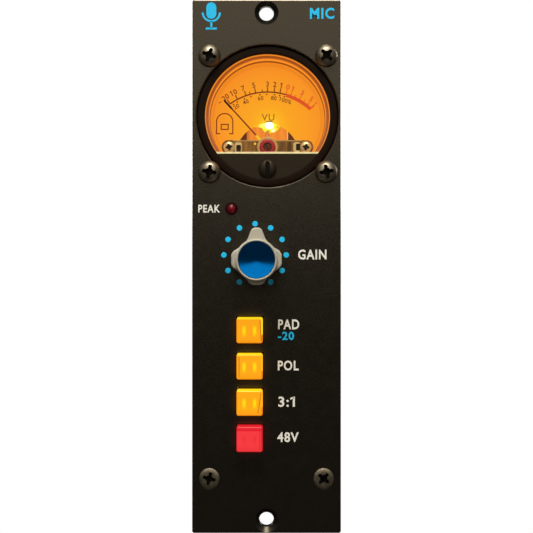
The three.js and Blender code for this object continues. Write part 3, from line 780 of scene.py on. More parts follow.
dark_scale = [arc_mark(SCALE, 16.74, 0.34, -35.4, 16.4, *ink_layer, steps=40)]
dark_scale += [tick(angle, 16.7, 18.0, 0.26) for angle in (-35.1, -27.5, -19.3, -10.5, 0.1, 5.9, 11.1)]
dark_scale += [tick(angle, 16.7, 17.45, 0.22) for angle in (-15.5, -4.5)]
dark_scale += [numeral(words, angle, 18.8, 1.35) for words, angle in (
    ("20", -35.3), ("10", -27.4), ("7", -19.6), ("5", -10.9), ("3", 0), ("2", 5.9), ("1", 11.2))]
dark_scale += [numeral(words, angle, 15.25, 1.07) for words, angle in (
    ("20", -31.7), ("40", -21.6), ("60", -6.7), ("80", 6.2), ("100%", 17.9))]
[(minus_x, minus_z)] = ring_places(SCALE, 18.65, [-41])
dark_scale.append(bar_mark(minus_x - 0.32, minus_z - 0.24, minus_x + 0.32, minus_z + 0.24, 0.18, *ink_layer))
for x, z in ring_places(SCALE, 16.13, (-32.9, -28.9, -21.6, -15.3, -6.9, -0.7, 6.4, 11.3, 15.5)):
    dark_scale.append(plate("dot", rounded(0.4, 0.4, 0.19, (x, z), 3), *ink_layer))
# The moving coil sign: a horseshoe magnet over a coil with its two leads.
sign_x, sign_z = -10.8, 36.6
SIGN_STROKES = ((-2.1, 0.5, -2.1, -2.6), (2.1, 0.5, 2.1, -2.6), (-2.24, -2.6, -1.2, -2.6),
                (2.24, -2.6, 1.2, -2.6), (-1, -1.5, 1, -1.5), (-1, -0.2, 1, -0.2),
                (-0.9, -0.2, -0.9, -1.5), (0.9, -0.2, 0.9, -1.5))
dark_scale.append(arc_mark((sign_x, sign_z + 0.5), 2.1, 0.28, -90, 90, *ink_layer))
dark_scale += [bar_mark(sign_x + x0, sign_z + z0, sign_x + x1, sign_z + z1, 0.28, *ink_layer)
               for x0, z0, x1, z1 in SIGN_STROKES]
dark_print = joined("dial_print_brown", dark_scale)
unit_print = lettering("VU", 1.75, (0.4, 38.2), dial_front - 0.01, 3.3, bold=0.012, thick=0.05, spread=1.12)
unit_print.name = unit_print.data.name = "dial_print_unit"

red_scale = [arc_mark(SCALE, 16.62, 0.9, 16.6, 42.2, *ink_layer)]
red_scale += [tick(16.3 + 4.27 * step, 16.9, 18.0 if step in (0, 1, 3, 5) else 17.7,
    0.2) for step in range(6)]
red_scale.append(tick(42.0, 16.9, 18.1, 0.35))
red_scale += [numeral(words, angle, 18.8, 1.35, 0.02) for words, angle in (
    ("0", 16.4), ("1", 20.7), ("3", 28.6), ("5", 37.3))]
red_scale.append(numeral("+", 42, 18.65, 0.75, 0.012))
red_print = joined("dial_print_red", red_scale)


def backlit_ink(name, light, dark):
    """Translucent ink on the lit dial."""
    material, place, shader = new_finish(name, {"Roughness": 0.6, "Specular IOR Level": 0.05,
        "Emission Strength": 1})
    thin = noise(place, 1800, 3)
    two_tone(thin, (0.006, 0.002, 0.0004, 1), (0.01, 0.003, 0.0006, 1)).into(shader, "Base Color")
    two_tone(thin, dark, light).into(shader, "Emission Color")
    return material


wear(dark_print, backlit_ink("dark_brown_ink", tone(124, 36, 4), tone(98, 24, 3)))
wear(red_print, backlit_ink("orange_red_ink", tone(228, 84, 30), tone(214, 64, 24)))
wear(unit_print, backlit_ink("tan_ink", tone(186, 98, 22), tone(150, 74, 12)))
for piece in (dark_print, red_print, unit_print):
    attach(piece, "module")

# ---------------------------------------------------------------------------- meter movement
# Behind the dial's half-moon window lie the magnet and a salmon plastic cover. The bulb stands in a
# notch at the window's top, over a bright spring clip, and a brass arm holds the pivot's spring.
pivot = axis_of("meter_jewel_bush")


def bands(place, direction, scale, distortion, detail=2):
    """Wavy bands across one direction, from 0 to 1."""
    return place.node("ShaderNodeTexWave", {"wave_type": "BANDS", "bands_direction": direction}, {
        "Vector": place, "Scale": scale, "Distortion": distortion, "Detail": detail}, take=1)


WINDOW_Z = meter.z - 9.19
COVER_HALF = 5.35
cover_top = [(meter.x + COVER_HALF * side / 12, WINDOW_Z + sqrt(8.35 ** 2 - (COVER_HALF * side / 12) ** 2))
             for side in range(12, -13, -1)]
cover = plate("movement_cover", cover_top + [(meter.x - COVER_HALF, pivot.z - 3), (meter.x + COVER_HALF,
              pivot.z - 3)], 7.25, 7.7)
combine(cover, [rod(0.7, 7, 8, pivot, steps=24),
                rod(1.36, 7, 8, lamp_axis, steps=32)])
soften(cover, 0.1)
salmon, place, shader = new_finish("lit_salmon_cover", {
    "Base Color": (0.02, 0.008, 0.001, 1), "Roughness": 0.4, "Specular IOR Level": 0.1,
    "Emission Strength": 1})
streaks = bands(place, "X", 160, 6, 3)
across = measured(place, "X") - meter.x
# Painted light in the emission: painted shade darkens the cover's left side, and a painted highlight lights a
# band near its right edge.
painted_edge_highlight = fade(across, 5.0, 5.12) * (1 - fade(across, 5.25, 5.35))
warm = two_tone(streaks * 0.6, tone(243, 142, 40), tone(230, 118, 38))
warm = two_tone((1 - fade(across, -5.4, -3.9)) * 0.6, warm, tone(176, 84, 26))
two_tone(painted_edge_highlight * 0.8, warm, tone(250, 196, 110)).into(shader, "Emission Color")
bumped(streaks, 0.05, shader)
wear(cover, salmon)
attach(cover, "module")

collar = turned("lamp_collar", [(1.34, 7.04), (2.0, 7.04), (2.0, 7.2), (1.34, 7.2), (1.34, 7.04)],
                lamp_axis, steps=40)
gold_glow, place, shader = new_finish("lit_gold_collar", {
    "Base Color": (0.02, 0.01, 0.001, 1), "Roughness": 0.5, "Emission Strength": 1})
two_tone(noise(place, 900), tone(253, 190, 18), tone(250, 172, 14)).into(shader, "Emission Color")
wear(collar, gold_glow)
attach(collar, "module")

# The magnet's emission is painted lamplight.
magnet_finish, place, shader = new_finish("dark_magnet_painted_glow", {
    "Metallic": 0.6, "Roughness": 0.5, "Emission Strength": 1})
rust = noise(place, 900, 4)
two_tone(rust, tone(72, 34, 26), tone(38, 20, 20)).into(shader, "Base Color")
two_tone(rust, tone(96, 42, 24), tone(44, 18, 16)).into(shader, "Emission Color")
bumped(rust, 0.05, shader)
wear(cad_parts["meter_magnet"], magnet_finish)

copper, place, shader = new_finish("wound_copper", {"Metallic": 0.9})
turns = bands(place, "Y", 1300, 0.4)
two_tone(turns, tone(120, 52, 22), tone(196, 110, 60)).into(shader, "Base Color")
(0.3 + 0.2 * turns).into(shader, "Roughness")
bumped(turns, 0.05, shader)
wear(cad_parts["meter_coil"], copper)

bulb = turned("lamp_bulb", [(0, 5.3), (0.45, 5.36), (0.85, 5.6), (1.15, 6.1), (1.28, 6.8), (1.28, 9), (0, 9)],
              lamp_axis, steps=40)
hot, place, shader = new_finish("hot_lamp_glass", {"Roughness": 0.2, "Emission Strength": 2.4})
reach = from_axis(place, lamp_axis)
ramp(reach / 1.3, [
    (0, (1, 1, 0.85, 1)), (0.8, (1, 1, 0.6, 1)), (0.95, (0.9, 0.95, 0.05, 1)),
    (1, (0.75, 0.8, 0.01, 1))]).into(shader, "Emission Color")
two_tone(noise(place, 500), (0.8, 0.7, 0.4, 1), (1, 0.9, 0.6, 1)).into(shader, "Base Color")
bpy.ops.object.mode_set(mode="EDIT")
bpy.ops.mesh.select_all(action="SELECT")
bpy.ops.transform.resize(value=(1, 1, 0.76), center_override=(0, 0, lamp_axis.z * MM))
bpy.ops.object.mode_set(mode="OBJECT")
wear(smooth(bulb), hot)
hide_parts("meter_lamp")
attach(bulb, "module")

WINGS = ((-4.3, -0.35), (-3.0, 0.12), (-2.0, 0.42), (-1.0, 0.72), (0, 1.02), (1.0, 0.75), (1.9, 0.3),
         (2.8, -0.1), (2.5, -0.75), (1.95, -1.4), (1.2, -1.75), (0.3, -1.75), (0.05, -1.2), (-0.5, -1.1),
         (-0.62, -1.6), (-1.05, -1.78), (-1.5, -1.2), (-1.9, -0.6), (-2.8, -0.42))
clip = plate("lamp_spring_clip", [(lamp_axis.x + x, lamp_axis.z + z) for x, z in WINGS], 6.05, 6.3)
soften(clip, 0.08)
# The clip's colour is painted lamplight: a glow fading from the bulb, with bright painted highlights and two
# darker patches.
sunny, place, shader = new_finish("lit_spring_clip", {
    "Base Color": (0.1, 0.06, 0.01, 1), "Specular IOR Level": 0.2, "Emission Strength": 1.2})
spot = from_axis(place, lamp_axis + Vector((1.04, 0, -1.27)))
reach = from_axis(place, lamp_axis)
painted_clip_glow = ramp(reach / 4.4, [
    (0, (0.8, 0.95, 0.02, 1)), (0.3, (0.72, 0.9, 0.015, 1)), (0.36, (0.66, 0.72, 0.01, 1)),
    (0.48, (0.85, 0.62, 0.008, 1)), (0.7, (0.8, 0.42, 0.006, 1)), (1, (0.75, 0.3, 0.006, 1))])
painted_clip_glow = two_tone(1 - fade(spot, 0.15, 0.7), painted_clip_glow, (1, 1, 0.6, 1))
painted_gleam = from_axis(place, lamp_axis + Vector((-1.75, 0, 0.1)))
painted_clip_glow = two_tone(1 - fade(painted_gleam, 0.2, 1.3), painted_clip_glow, (1, 0.95, 0.12, 1))
dark_patch = from_axis(place, lamp_axis + Vector((2.1, 0, -0.32)))
painted_clip_glow = two_tone((1 - fade(dark_patch, 0.1, 0.4)) * 0.7, painted_clip_glow, (0.25, 0.16, 0.01, 1))
speck = from_axis(place, lamp_axis + Vector((-2.85, 0, -0.08)))
two_tone((1 - fade(speck, 0.05, 0.25)) * 0.7, painted_clip_glow, (0.3, 0.15, 0.01, 1)).into(shader, "Emission Color")
(0.3 + 0.1 * noise(place, 800)).into(shader, "Roughness")
wear(clip, sunny)
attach(clip, "module")

stem_x = pivot.x - 0.08
stem = plate("spring_arm", [(stem_x - 0.46, pivot.z + 1.2), (stem_x - 0.46, pivot.z + 3.95),
                            (stem_x, pivot.z + 4.72),
                            (stem_x + 0.46, pivot.z + 3.95), (stem_x + 0.46, pivot.z + 1.2)], 5.75, 6.0)
soften(stem, 0.1, 1)
hot_brass, place, shader = new_finish("lamplit_brass", {
    "Base Color": tone(120, 60, 24), "Metallic": 0.5, "Roughness": 0.4, "Emission Strength": 1})
# The arm's emission is painted lamplight, with painted shade darkening its two edges.
across = measured(place, "X") - stem_x
rim = fade(abs(across), 0.1, 0.42)
tarnish = noise(place, 900, 4)
body = two_tone(tarnish, tone(226, 138, 66), tone(190, 96, 36))
two_tone(rim * 0.7, body, tone(126, 52, 20)).into(shader, "Emission Color")
bumped(tarnish, 0.02, shader)
wear(stem, hot_brass)
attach(stem, "module")

# ------------------------------------------------------------------------------ meter bridge
# The bridge is a stamped nickel strip with two raised lugs, screwed down at its round ends. A red
# enamelled bush in the middle of it carries the jewel, with a slotted pivot screw.
bridge_low, bridge_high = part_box("meter_bridge")
bridge_near, bridge_far = bridge_low.y / MM, bridge_high.y / MM
bridge_half = (bridge_high.x - bridge_low.x) / 2 / MM
SCREW_REACH = 9.8
LUG_REACH = 7.45

strip = plate("meter_bridge_strip", rounded(2 * bridge_half, 3.6, 1.79, (pivot.x, pivot.z), 10),
    bridge_near, bridge_far)
combine(strip, [rod(0.85, 0, 9, pivot + Vector((x, 0, 0)), steps=24)
                for x in (-SCREW_REACH, 0, SCREW_REACH)])
soften(strip, 0.16, 2)
# The strip's emission is painted lamplight, in upright mottles.
nickel_painted_glow, place, shader = new_finish("nickel_painted_lamp_glow", {"Metallic": 0.8, "Emission Strength": 1})
upright = place.node("ShaderNodeVectorMath", {"operation": "MULTIPLY"}, {0: place, 1: (1, 1, 0.12)})
mottle = noise(upright, 1100, 5)
blotch = noise(upright, 380, 3)
two_tone(fade(mottle * 0.6 + blotch * 0.4, 0.35, 0.65),
    tone(60, 38, 12), tone(120, 88, 38)).into(shader, "Base Color")
two_tone(fade(mottle * 0.5 + blotch * 0.5, 0.38, 0.62),
    tone(50, 26, 6), tone(96, 58, 14)).into(shader, "Emission Color")
(0.38 + 0.2 * mottle).into(shader, "Roughness")
bumped(mottle, 0.06, shader)
wear(strip, nickel_painted_glow)
# A pale metal strip along the bridge's top edge is a painted highlight.
bridge_highlight_strip = plate("bridge_painted_highlight_strip", rounded(17.6, 0.26, 0.1, (pivot.x, pivot.z + 1.64), 3),
    bridge_near - 0.05, bridge_near + 0.02)
highlight_strip_metal = plated("rim_painted_highlight", tone(235, 206, 140), tone(170, 128, 66), 0.4, 1500, 0.5)
wear(bridge_highlight_strip, highlight_strip_metal)
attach(bridge_highlight_strip, "module")
rivet = turned("bridge_rivet", [(0, bridge_near - 0.12), (0.2, bridge_near - 0.1), (0.3, bridge_near - 0.02),
                                (0.3, bridge_near), (0, bridge_near)], pivot + Vector((-3.15, 0, 0.85)),
                                steps=20)
wear(smooth(rivet), gold_glow)
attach(rivet, "module")
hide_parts("meter_bridge")
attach(strip, "module")

# The lug mouths and the screw recesses take a dark brown finish: painted shade in the hollows.
painted_brown_shade = plated("recess_painted_brown_shade", tone(60, 34, 14), tone(28, 14, 6), 0.5, 2200, 0.5)
lug_silver, place, shader = new_finish("lamplit_silver", {
    "Metallic": 0.8, "Roughness": 0.35, "Emission Strength": 1})
scuff = noise(place, 1600, 4)
two_tone(scuff, tone(206, 186, 140), tone(140, 112, 66)).into(shader, "Base Color")
two_tone(scuff, tone(158, 136, 88), tone(104, 74, 34)).into(shader, "Emission Color")
for side, reach in (("left", -1), ("right", 1)):
    at = (pivot.x + reach * LUG_REACH, pivot.z)
    lug = plate("bridge_lug_" + side, rounded(1.75, 2.5, 0.5, at), bridge_near - 0.4, bridge_near)
    shift = Vector((0.4, 0)) if reach > 0 else Vector((0.1, -0.35))
    mouth = plate("cutter", rounded(1.2, 1.75, 0.3, (at[0] + shift.x, at[1] + shift.y)), 1,
        bridge_near - 0.05)
    sunk(lug, mouth, lug_silver, painted_brown_shade)
    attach(lug, "module")
    node = "bridge_screw_" + side
    screw = pan_screw("nickel_" + node, axis_of(node), 1.45, 0.82, bridge_near - 0.02, 0.7, 8.4,
                      (1.8, 0.58, 0.6), 12 * reach, lug_silver, painted_brown_shade)
    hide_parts(node)
    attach(screw, "module")

washer = turned("bush_washer", [(2.06, 2.35), (2.06, 2.58), (2.62, 2.58), (2.62, 2.45), (2.5, 2.35),
    (2.06, 2.35)], pivot)
cream, place, shader = new_finish("lit_cream_washer", {
    "Metallic": 0.3, "Roughness": 0.5, "Emission Strength": 1})
patch = noise(place, 700, 3)
two_tone(patch, tone(150, 134, 90), tone(120, 96, 50)).into(shader, "Base Color")
two_tone(patch, tone(118, 92, 40), tone(142, 98, 26)).into(shader, "Emission Color")
wear(smooth(washer), cream)
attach(washer, "module")

bush = turned("red_jewel_bush", [(1.08, 1.95), (1.08, 1.34), (1.15, 1.24), (1.5, 1.2), (1.86, 1.36),
                                 (2.04, 1.7), (2.04, 2.5), (1.08, 2.5), (1.08, 1.95)], pivot)
# The bush's emission is painted lamplight.
enamel, place, shader = new_finish("red_enamel", {"Specular IOR Level": 0.25, "Emission Strength": 1})
two_tone(noise(place, 900, 3), tone(138, 12, 26), tone(106, 8, 18)).into(shader, "Base Color")
two_tone(noise(place, 600, 3), tone(104, 10, 20), tone(76, 6, 12)).into(shader, "Emission Color")
(0.28 + 0.15 * noise(place, 2500)).into(shader, "Roughness")
wear(smooth(bush), enamel)
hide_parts("meter_jewel_bush")
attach(bush, "module")

jewel = turned("pivot_screw", [(0, 1.55), (0.85, 1.57), (1.06, 1.72), (1.06, 2.4), (0, 2.4)], pivot, steps=32)
combine(jewel, [bar_mark(pivot.x - 0.5, pivot.z + 0.8, pivot.x + 0.6, pivot.z - 1, 0.3, 1, 1.95)])
jewel_brown = plated("dark_bronze", tone(120, 70, 34), tone(66, 34, 16), 0.4, 2500, 0.4)
wear(smooth(jewel, 30), jewel_brown)
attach(jewel, "module")

# -------------------------------------------------------------------------------- meter needle
# The pointer is thin aluminium in maroon enamel with a blackened tip. Its glow, and the lamplight
# on its root, are painted into its emission. It swings with the coil, on a hub with two balance arms.
REST = -42.4


def along_needle(side, out):
    """A place beside and along the needle at rest, from its pivot."""
    a = radians(REST)
    return (pivot.x + side * cos(a) + out * sin(a), pivot.z + out * cos(a) - side * sin(a))


pointer_shape = [(-0.2, -3.2), (-0.2, 2.6), (-0.27, 2.9), (-0.27, 4.3), (-0.18, 4.8), (-0.17, 13.2),
                 (-0.27, 13.9), (-0.25, 16.3), (-0.08, 16.6), (0.08, 16.6), (0.25, 16.3), (0.27, 13.9),
                 (0.17, 13.2), (0.18, 4.8), (0.27, 4.3), (0.27, 2.9), (0.2, 2.6), (0.2, -3.2)]
pointer = plate("needle_pointer", [along_needle(side, out) for side, out in pointer_shape], 4.6, 4.95)
arms = plate("arms", [along_needle(side, out) for side, out in ((-2.6, -0.25), (-2.6, 0.25), (2.6, 0.25),
             (2.6, -0.25))], 4.6, 4.95)
hub = turned("hub", [(0, 2.9), (0.4, 3.0), (0.4, 4.2), (0.9, 4.2), (1.1, 4.35), (1.1, 5.6), (0.4, 5.6),
                     (0.4, 7.9), (0, 7.9)], pivot, steps=32)
combine(pointer, [arms, hub], "UNION")
soften(pointer, 0.05, 1)
maroon, place, shader = new_finish("maroon_enamel_painted_glow", {
    "Roughness": 0.45, "Specular IOR Level": 0.05, "Emission Strength": 1})
reach = from_axis(place, pivot)
ramp(reach / 16.6, [
    (0, tone(70, 26, 10)), (0.155, tone(90, 40, 10)), (0.175, tone(250, 200, 30)), (0.25, tone(245, 190, 30)),
    (0.275, tone(122, 34, 3)), (0.8, tone(104, 24, 3)), (0.84, tone(36, 10, 4)),
    (1, tone(22, 7, 3))]).into(shader, "Emission Color")
two_tone(noise(place, 1500), (0.01, 0.002, 0.0005, 1), (0.005, 0.001, 0.0003, 1)).into(shader, "Base Color")
wear(pointer, maroon)
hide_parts("meter_needle")
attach(pointer, "needle")

# -------------------------------------------------------------------------------------- peak LED
# A three millimetre LED of deep red epoxy, unlit, stands in its hole on a black nylon spacer.
led_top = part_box("peak_led")[0].y / MM
led = turned("peak_lamp", [(0, led_top), (0.5, led_top + 0.06), (0.9, led_top + 0.28), (1.15, led_top + 0.65),
                           (1.25, led_top + 1.1), (1.25, 1), (1.9, 1), (1.9, 2), (0, 2)], led_axis, steps=40)
ruby, place, shader = new_finish("deep_red_epoxy", {"Specular IOR Level": 0.3, "Emission Strength": 1})
two_tone(noise(place, 800, 3), tone(78, 4, 14), tone(54, 2, 9)).into(shader, "Base Color")
# The unlit LED's emission is painted light, brightest at its core.
painted_led_glow = fade(from_axis(place, led_axis), 0.2, 1.3)
two_tone(painted_led_glow, tone(76, 2, 10), tone(26, 1, 4)).into(shader, "Emission Color")
(0.14 + 0.1 * noise(place, 2000)).into(shader, "Roughness")
wear(smooth(led), ruby)
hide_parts("peak_led")
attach(led, "module")
leg_metal = plated("tinned_wire", tone(214, 214, 208), tone(150, 148, 140), 0.3, 1500, 0.4)
for side, x in (("left", -0.635), ("right", 0.635)):
    leg = plate("led_leg_" + side, rounded(0.44, 0.44, 0.08, (led_axis.x + x, led_axis.z), 2), 1.6, 13.4)
    wear(smooth(leg), leg_metal)
    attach(leg, "module")
wear(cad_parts["led_spacer"], black_plastic)

# --------------------------------------------------------------------------------- gain knob
# The knob is moulded in warm grey plastic: a round crown on a skirt with a long pointer and three
# short wings. A blue anodised disc, dished and polished, is pressed into its crown.
knob_low, knob_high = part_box("knob_body")
tip, base = knob_low.y / MM, knob_high.y / MM
CROWN = 5.12
SHOULDER = tip + 2.4
WINGS_OF_KNOB = ((0, 7.75, 1.1, 2.3), (90, 6.1, 1.75, 2.85), (180, 6.1, 1.5, 2.5), (270, 6.1, 1.75, 2.85))


def knob_place(turn, side, out):
    """A place beside and along a wing of the knob that points a turn clockwise from the top."""
    a = radians(turn)
    return (knob_axis.x + side * cos(a) + out * sin(a), knob_axis.z + out * cos(a) - side * sin(a))


outline = []
for turn, reach, half_tip, half_root in WINGS_OF_KNOB:
    root = sqrt(CROWN ** 2 - half_root ** 2)
    outline += [knob_place(turn, side, out) for side, out in (
        (-half_root, root), (-half_tip, reach), (half_tip, reach), (half_root, root))]
skirt = plate("knob_moulding", outline, SHOULDER, base)


def round_corners(piece, width, segments, keep):
    """Bevels the edges of a piece that a test on an edge's two ends picks out."""
    choose(piece)
    bpy.ops.object.mode_set(mode="EDIT")
    bpy.ops.mesh.select_mode(type="EDGE")
    bpy.ops.mesh.select_all(action="DESELECT")
    bpy.ops.object.mode_set(mode="OBJECT")
    points = piece.data.vertices
    for edge in piece.data.edges:
        edge.select = keep(points[edge.vertices[0]].co / MM, points[edge.vertices[1]].co / MM)
    bpy.ops.object.mode_set(mode="EDIT")
    bpy.ops.mesh.bevel(offset=width * MM, segments=segments, affect="EDGES")
    bpy.ops.mesh.select_mode(type="VERT")
    bpy.ops.object.mode_set(mode="OBJECT")
    return piece


round_corners(skirt, 0.85, 6, lambda a, b: abs(a.y - b.y) > 1)
round_corners(skirt, 0.42, 4, lambda a, b: abs(a.y - SHOULDER) < 0.01 and abs(b.y - SHOULDER) < 0.01)
crown = turned("crown", [
    (0, tip + 1.4), (4.42, tip + 1.4), (4.42, tip + 0.3), (4.5, tip + 0.12), (4.62, tip + 0.02), (4.72, tip),
    (4.84, tip + 0.05), (4.95, tip + 0.18), (5.03, tip + 0.4), (5.07, tip + 0.8), (CROWN, SHOULDER + 0.5),
    (0, SHOULDER + 0.5)],
    knob_axis, steps=96)
combine(skirt, [crown], "UNION")
room = rod(4.75, base - 3.2, base + 1, knob_axis)
bore = rod(2.06, -12.4, base, knob_axis, steps=32)
combine(skirt, [room, bore])
grub = middle("knob_grub_screw")
combine(skirt, [rod(0.95, -1.6, 6, Vector((knob_axis.x, grub.y, knob_axis.z - 8)), along="Z", steps=24)])
smooth(skirt, 40)
knob_grey, place, shader = new_finish("warm_grey_plastic", {"Specular IOR Level": 0.45})
cloud = noise(place, 240, 4)
two_tone(cloud, (0.42, 0.395, 0.325, 1), (0.36, 0.335, 0.275, 1)).into(shader, "Base Color")
(0.4 + 0.14 * noise(place, 2600, 3)).into(shader, "Roughness")
bumped(noise(place, 2600, 3), 0.015, shader)
wear(skirt, knob_grey)
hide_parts("knob_body")
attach(skirt, "knob")

dish = [(4.1 * step / 14, tip + 0.12 + 0.62 * (1 - (step / 14) ** 1.6)) for step in range(15)]
cap = turned("knob_disc", dish + [(4.22, tip + 0.08), (4.33, tip + 0.06), (4.35, tip + 0.1),
                                  (4.35, tip + 1.3), (0, tip + 1.3)], knob_axis, steps=96)
anodised, place, shader = new_finish("blue_anodising", {"Metallic": 1})
haze = noise(place, 500, 4)
two_tone(haze, (0.0015, 0.16, 0.52, 1), (0.001, 0.13, 0.44, 1)).into(shader, "Base Color")
spun = from_axis(place, knob_axis)
rings = spun.node("ShaderNodeTexNoise", {"noise_dimensions": "1D"}, {"W": spun, "Scale": 24, "Detail": 3})
(0.1 + 0.08 * haze + 0.05 * rings).into(shader, "Roughness")
bumped(rings, 0.002, shader)
wear(smooth(cap), anodised)
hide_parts("knob_cap")
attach(cap, "knob")

turned_brass = plated("turned_brass", tone(222, 184, 104), tone(160, 118, 52), 0.25, 1500, 0.4)
nickel = plated("dull_nickel", tone(196, 190, 178), tone(132, 126, 114), 0.28, 1400, 0.4)
wear(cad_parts["pot_shaft"], turned_brass)
for node in ("pot_bushing", "pot_nut", "pot_case", "knob_grub_screw"):
    wear(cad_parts[node], nickel)

# ------------------------------------------------------------------------------------- buttons
# Four square caps of translucent plastic, three amber and one red, each lit by two small lamps
# in its switch. A white plunger carries each cap through its hole in the panel.
UNLIT = 0.14


def lit_cap(name, centre, colours, cap_marks):
    """Translucent plastic lit from behind: bright at the top and right edges, with two hot spots."""
    face, band, dusk, hot_spot, spot_strength = colours
    unlit = tuple(UNLIT * part for part in face[:3]) + (1,)
    material, place, shader = new_finish(name, {
        "Base Color": unlit, "Specular IOR Level": 0.35, "Emission Strength": 1})
    depth = measured(place, "Y")
    x = measured(place, "X") - centre.x
    z = measured(place, "Z") - centre.z
    cloud = noise(place, 420, 3)
    glow = 0
    for spot_x in (-1.37, 1.24):
        narrow = 1 - fade(abs(x - spot_x), 0.12, 0.7)
        tall = fade(z, -1.9, -0.1) * (1 - fade(z, 0.3, 1.7))
        glow = narrow * tall + glow
    # Painted light and shade over the glow: bright bands at the top and right, painted shade towards the
    # bottom, the left, the lower right and where the cap passes behind the panel, and a dark line.
    colour = two_tone(cloud * 0.25, face, dusk)
    colour = two_tone((1 - fade(z, -3.2, -1.2)) * 0.3, colour, dusk)
    colour = two_tone(glow * spot_strength, colour, hot_spot)
    side, top, dark_line_x, lean = cap_marks
    colour = two_tone(fade(z, top, top + 0.12), colour, band)
    right = fade(x, 2.78, 2.92)
    colour = two_tone(right * fade(z, -1.4, -0.6), colour, side)
    colour = two_tone(right * (1 - fade(z, -1.4, -0.6)) * 0.8, colour, dusk)
    colour = two_tone((1 - fade(z, -2.98, -2.82)) * 0.7, colour, dusk)
    colour = two_tone((1 - fade(x, -3.1, -2.95)) * 0.4, colour, dusk)
    dark_line = x - dark_line_x + z * lean
    dark_line = 1 - fade(abs(dark_line), 0.04, 0.16)
    dark_line = dark_line * (1 - fade(abs(z), 2.2, 2.8))
    colour = two_tone(dark_line * 0.75, colour, tone(150, 46, 8))
    colour = two_tone(fade(depth, front - 0.25, front + 0.1), colour, (0.03, 0.006, 0.001, 1))
    colour.into(shader, "Emission Color")
    (0.3 + 0.15 * cloud).into(shader, "Roughness")
    bumped(noise(place, 1800, 3), 0.01, shader)
    return material


AMBER = (tone(249, 166, 16), tone(255, 218, 20), tone(226, 112, 10), tone(252, 216, 5), 0.95)
RED = (tone(240, 56, 62), tone(214, 22, 40), tone(186, 18, 32), tone(216, 34, 44), 0.45)
# Each cap's bright right edge colour, the height of its bright top band, and the place and slant of a dark
# line in it.
CAP_MARKS = {"pad": (tone(255, 222, 20), 2.75, 2.72, 0.06), "polarity": (tone(253, 190, 14), 2.75, -2.6, 0.0),
           "tap": (tone(253, 178, 14), 2.75, 2.45, -0.16), "phantom": (tone(196, 16, 34), 2.0, 2.5, 0.0)}
white_plastic = moulded("white_plastic", tone(226, 221, 208), tone(208, 202, 188), 0.4)
cap_low, cap_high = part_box("pad_button_cap")
first_cap = middle("pad_button_cap")
cap_wide, cap_tall = (cap_high.x - cap_low.x) / MM, (cap_high.z - cap_low.z) / MM
cap_near, cap_far = cap_low.y / MM, cap_high.y / MM
cap_mould = plate("mould", rounded(cap_wide, cap_tall, 0.55, (first_cap.x, first_cap.z)), cap_near, cap_far)
round_corners(cap_mould, 0.3, 3, lambda a, b: abs(a.y - cap_near) < 0.01 and abs(b.y - cap_near) < 0.01)
combine(cap_mould, [plate("cutter", rounded(cap_wide - 1.4, cap_tall - 1.4, 0.3, (first_cap.x, first_cap.z)),
                          cap_near + 0.8, cap_far + 1)])
smooth(cap_mould)
drops = [middle(name + "_button_cap") - first_cap for name in BUTTONS[1:]]
for name, cap in zip(BUTTONS, copies(cap_mould, drops)):
    cap.name = cap.data.name = name + "_lit_cap"
    colours = RED if name == "phantom" else AMBER
    node = name + "_button_cap"
    wear(cap, lit_cap(name + "_cap_plastic", middle(node), colours, CAP_MARKS[name]))
    "red_cap" if name == "phantom" else "amber_cap"
    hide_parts(node)
    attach(cap, name + "_button")
    wear(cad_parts[name + "_plunger"], white_plastic)
    wear(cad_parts[name + "_switch"], black_plastic)

# ---------------------------------------------------------------------------- boards and tray
# Two green glass-epoxy cards carry the circuit. The main card's rear tongue has gold contacts, and
# a folded steel tray with zinc plating holds it on four pillars and screws.
board_green, place, shader = new_finish("green_solder_mask", {"Specular IOR Level": 0.6})
cells = place.node("ShaderNodeTexVoronoi", {"distance": "MANHATTAN", "feature": "F1"},
    {"Vector": place, "Scale": 130})
tracks = fade(cells.sum("PINGPONG", cells * 9, 0.5), 0.2, 0.3)
two_tone(tracks, tone(16, 78, 44), tone(28, 104, 58)).into(shader, "Base Color")
(0.25 + 0.15 * noise(place, 600)).into(shader, "Roughness")
bumped(tracks, 0.03, shader)
zinc = plated("zinc_passivate", tone(226, 226, 220), tone(196, 196, 188), 0.3, 700, 0.3)
gold = plated("gold_contact", tone(236, 190, 92), tone(208, 158, 66), 0.22, 1200, 0.3)
for node, material in {"control_board": board_green, "main_board": board_green, "board_link": black_plastic,
                       "card_tray": zinc}.items():
    wear(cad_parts[node], material)

card_low, card_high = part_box("main_board")
card_near, card_far = card_low.x / MM, card_high.x / MM
card_end = card_high.y / MM
PITCH = 3.96
contacts = []
for side in (card_near - 0.06, card_far):
    pad = plate("contact", rounded(8.2, 2.3, 0.5, (0, 0), 3), 0, 0.06)
    choose(pad)
    bpy.ops.transform.rotate(value=pi / 2, orient_axis="Z", center_override=(0, 0, 0))
    settle()
    low = min(vertex.co.x for vertex in pad.data.vertices) / MM
    contacts += copies(pad, [(side - low, card_end - 5.2, PITCH * row) for row in range(-7, 8)])
    bpy.data.objects.remove(contacts.pop(-16))
card_contacts = wear(joined("card_contacts", contacts), gold)
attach(card_contacts, "module")


def on_card(name, profile, x, y, z, steps=32):
    """A shape turned about a line along X at a place on the card, from points (radius, distance)."""
    return turned(name, profile, Vector((x, y, z)), along="X", steps=steps)


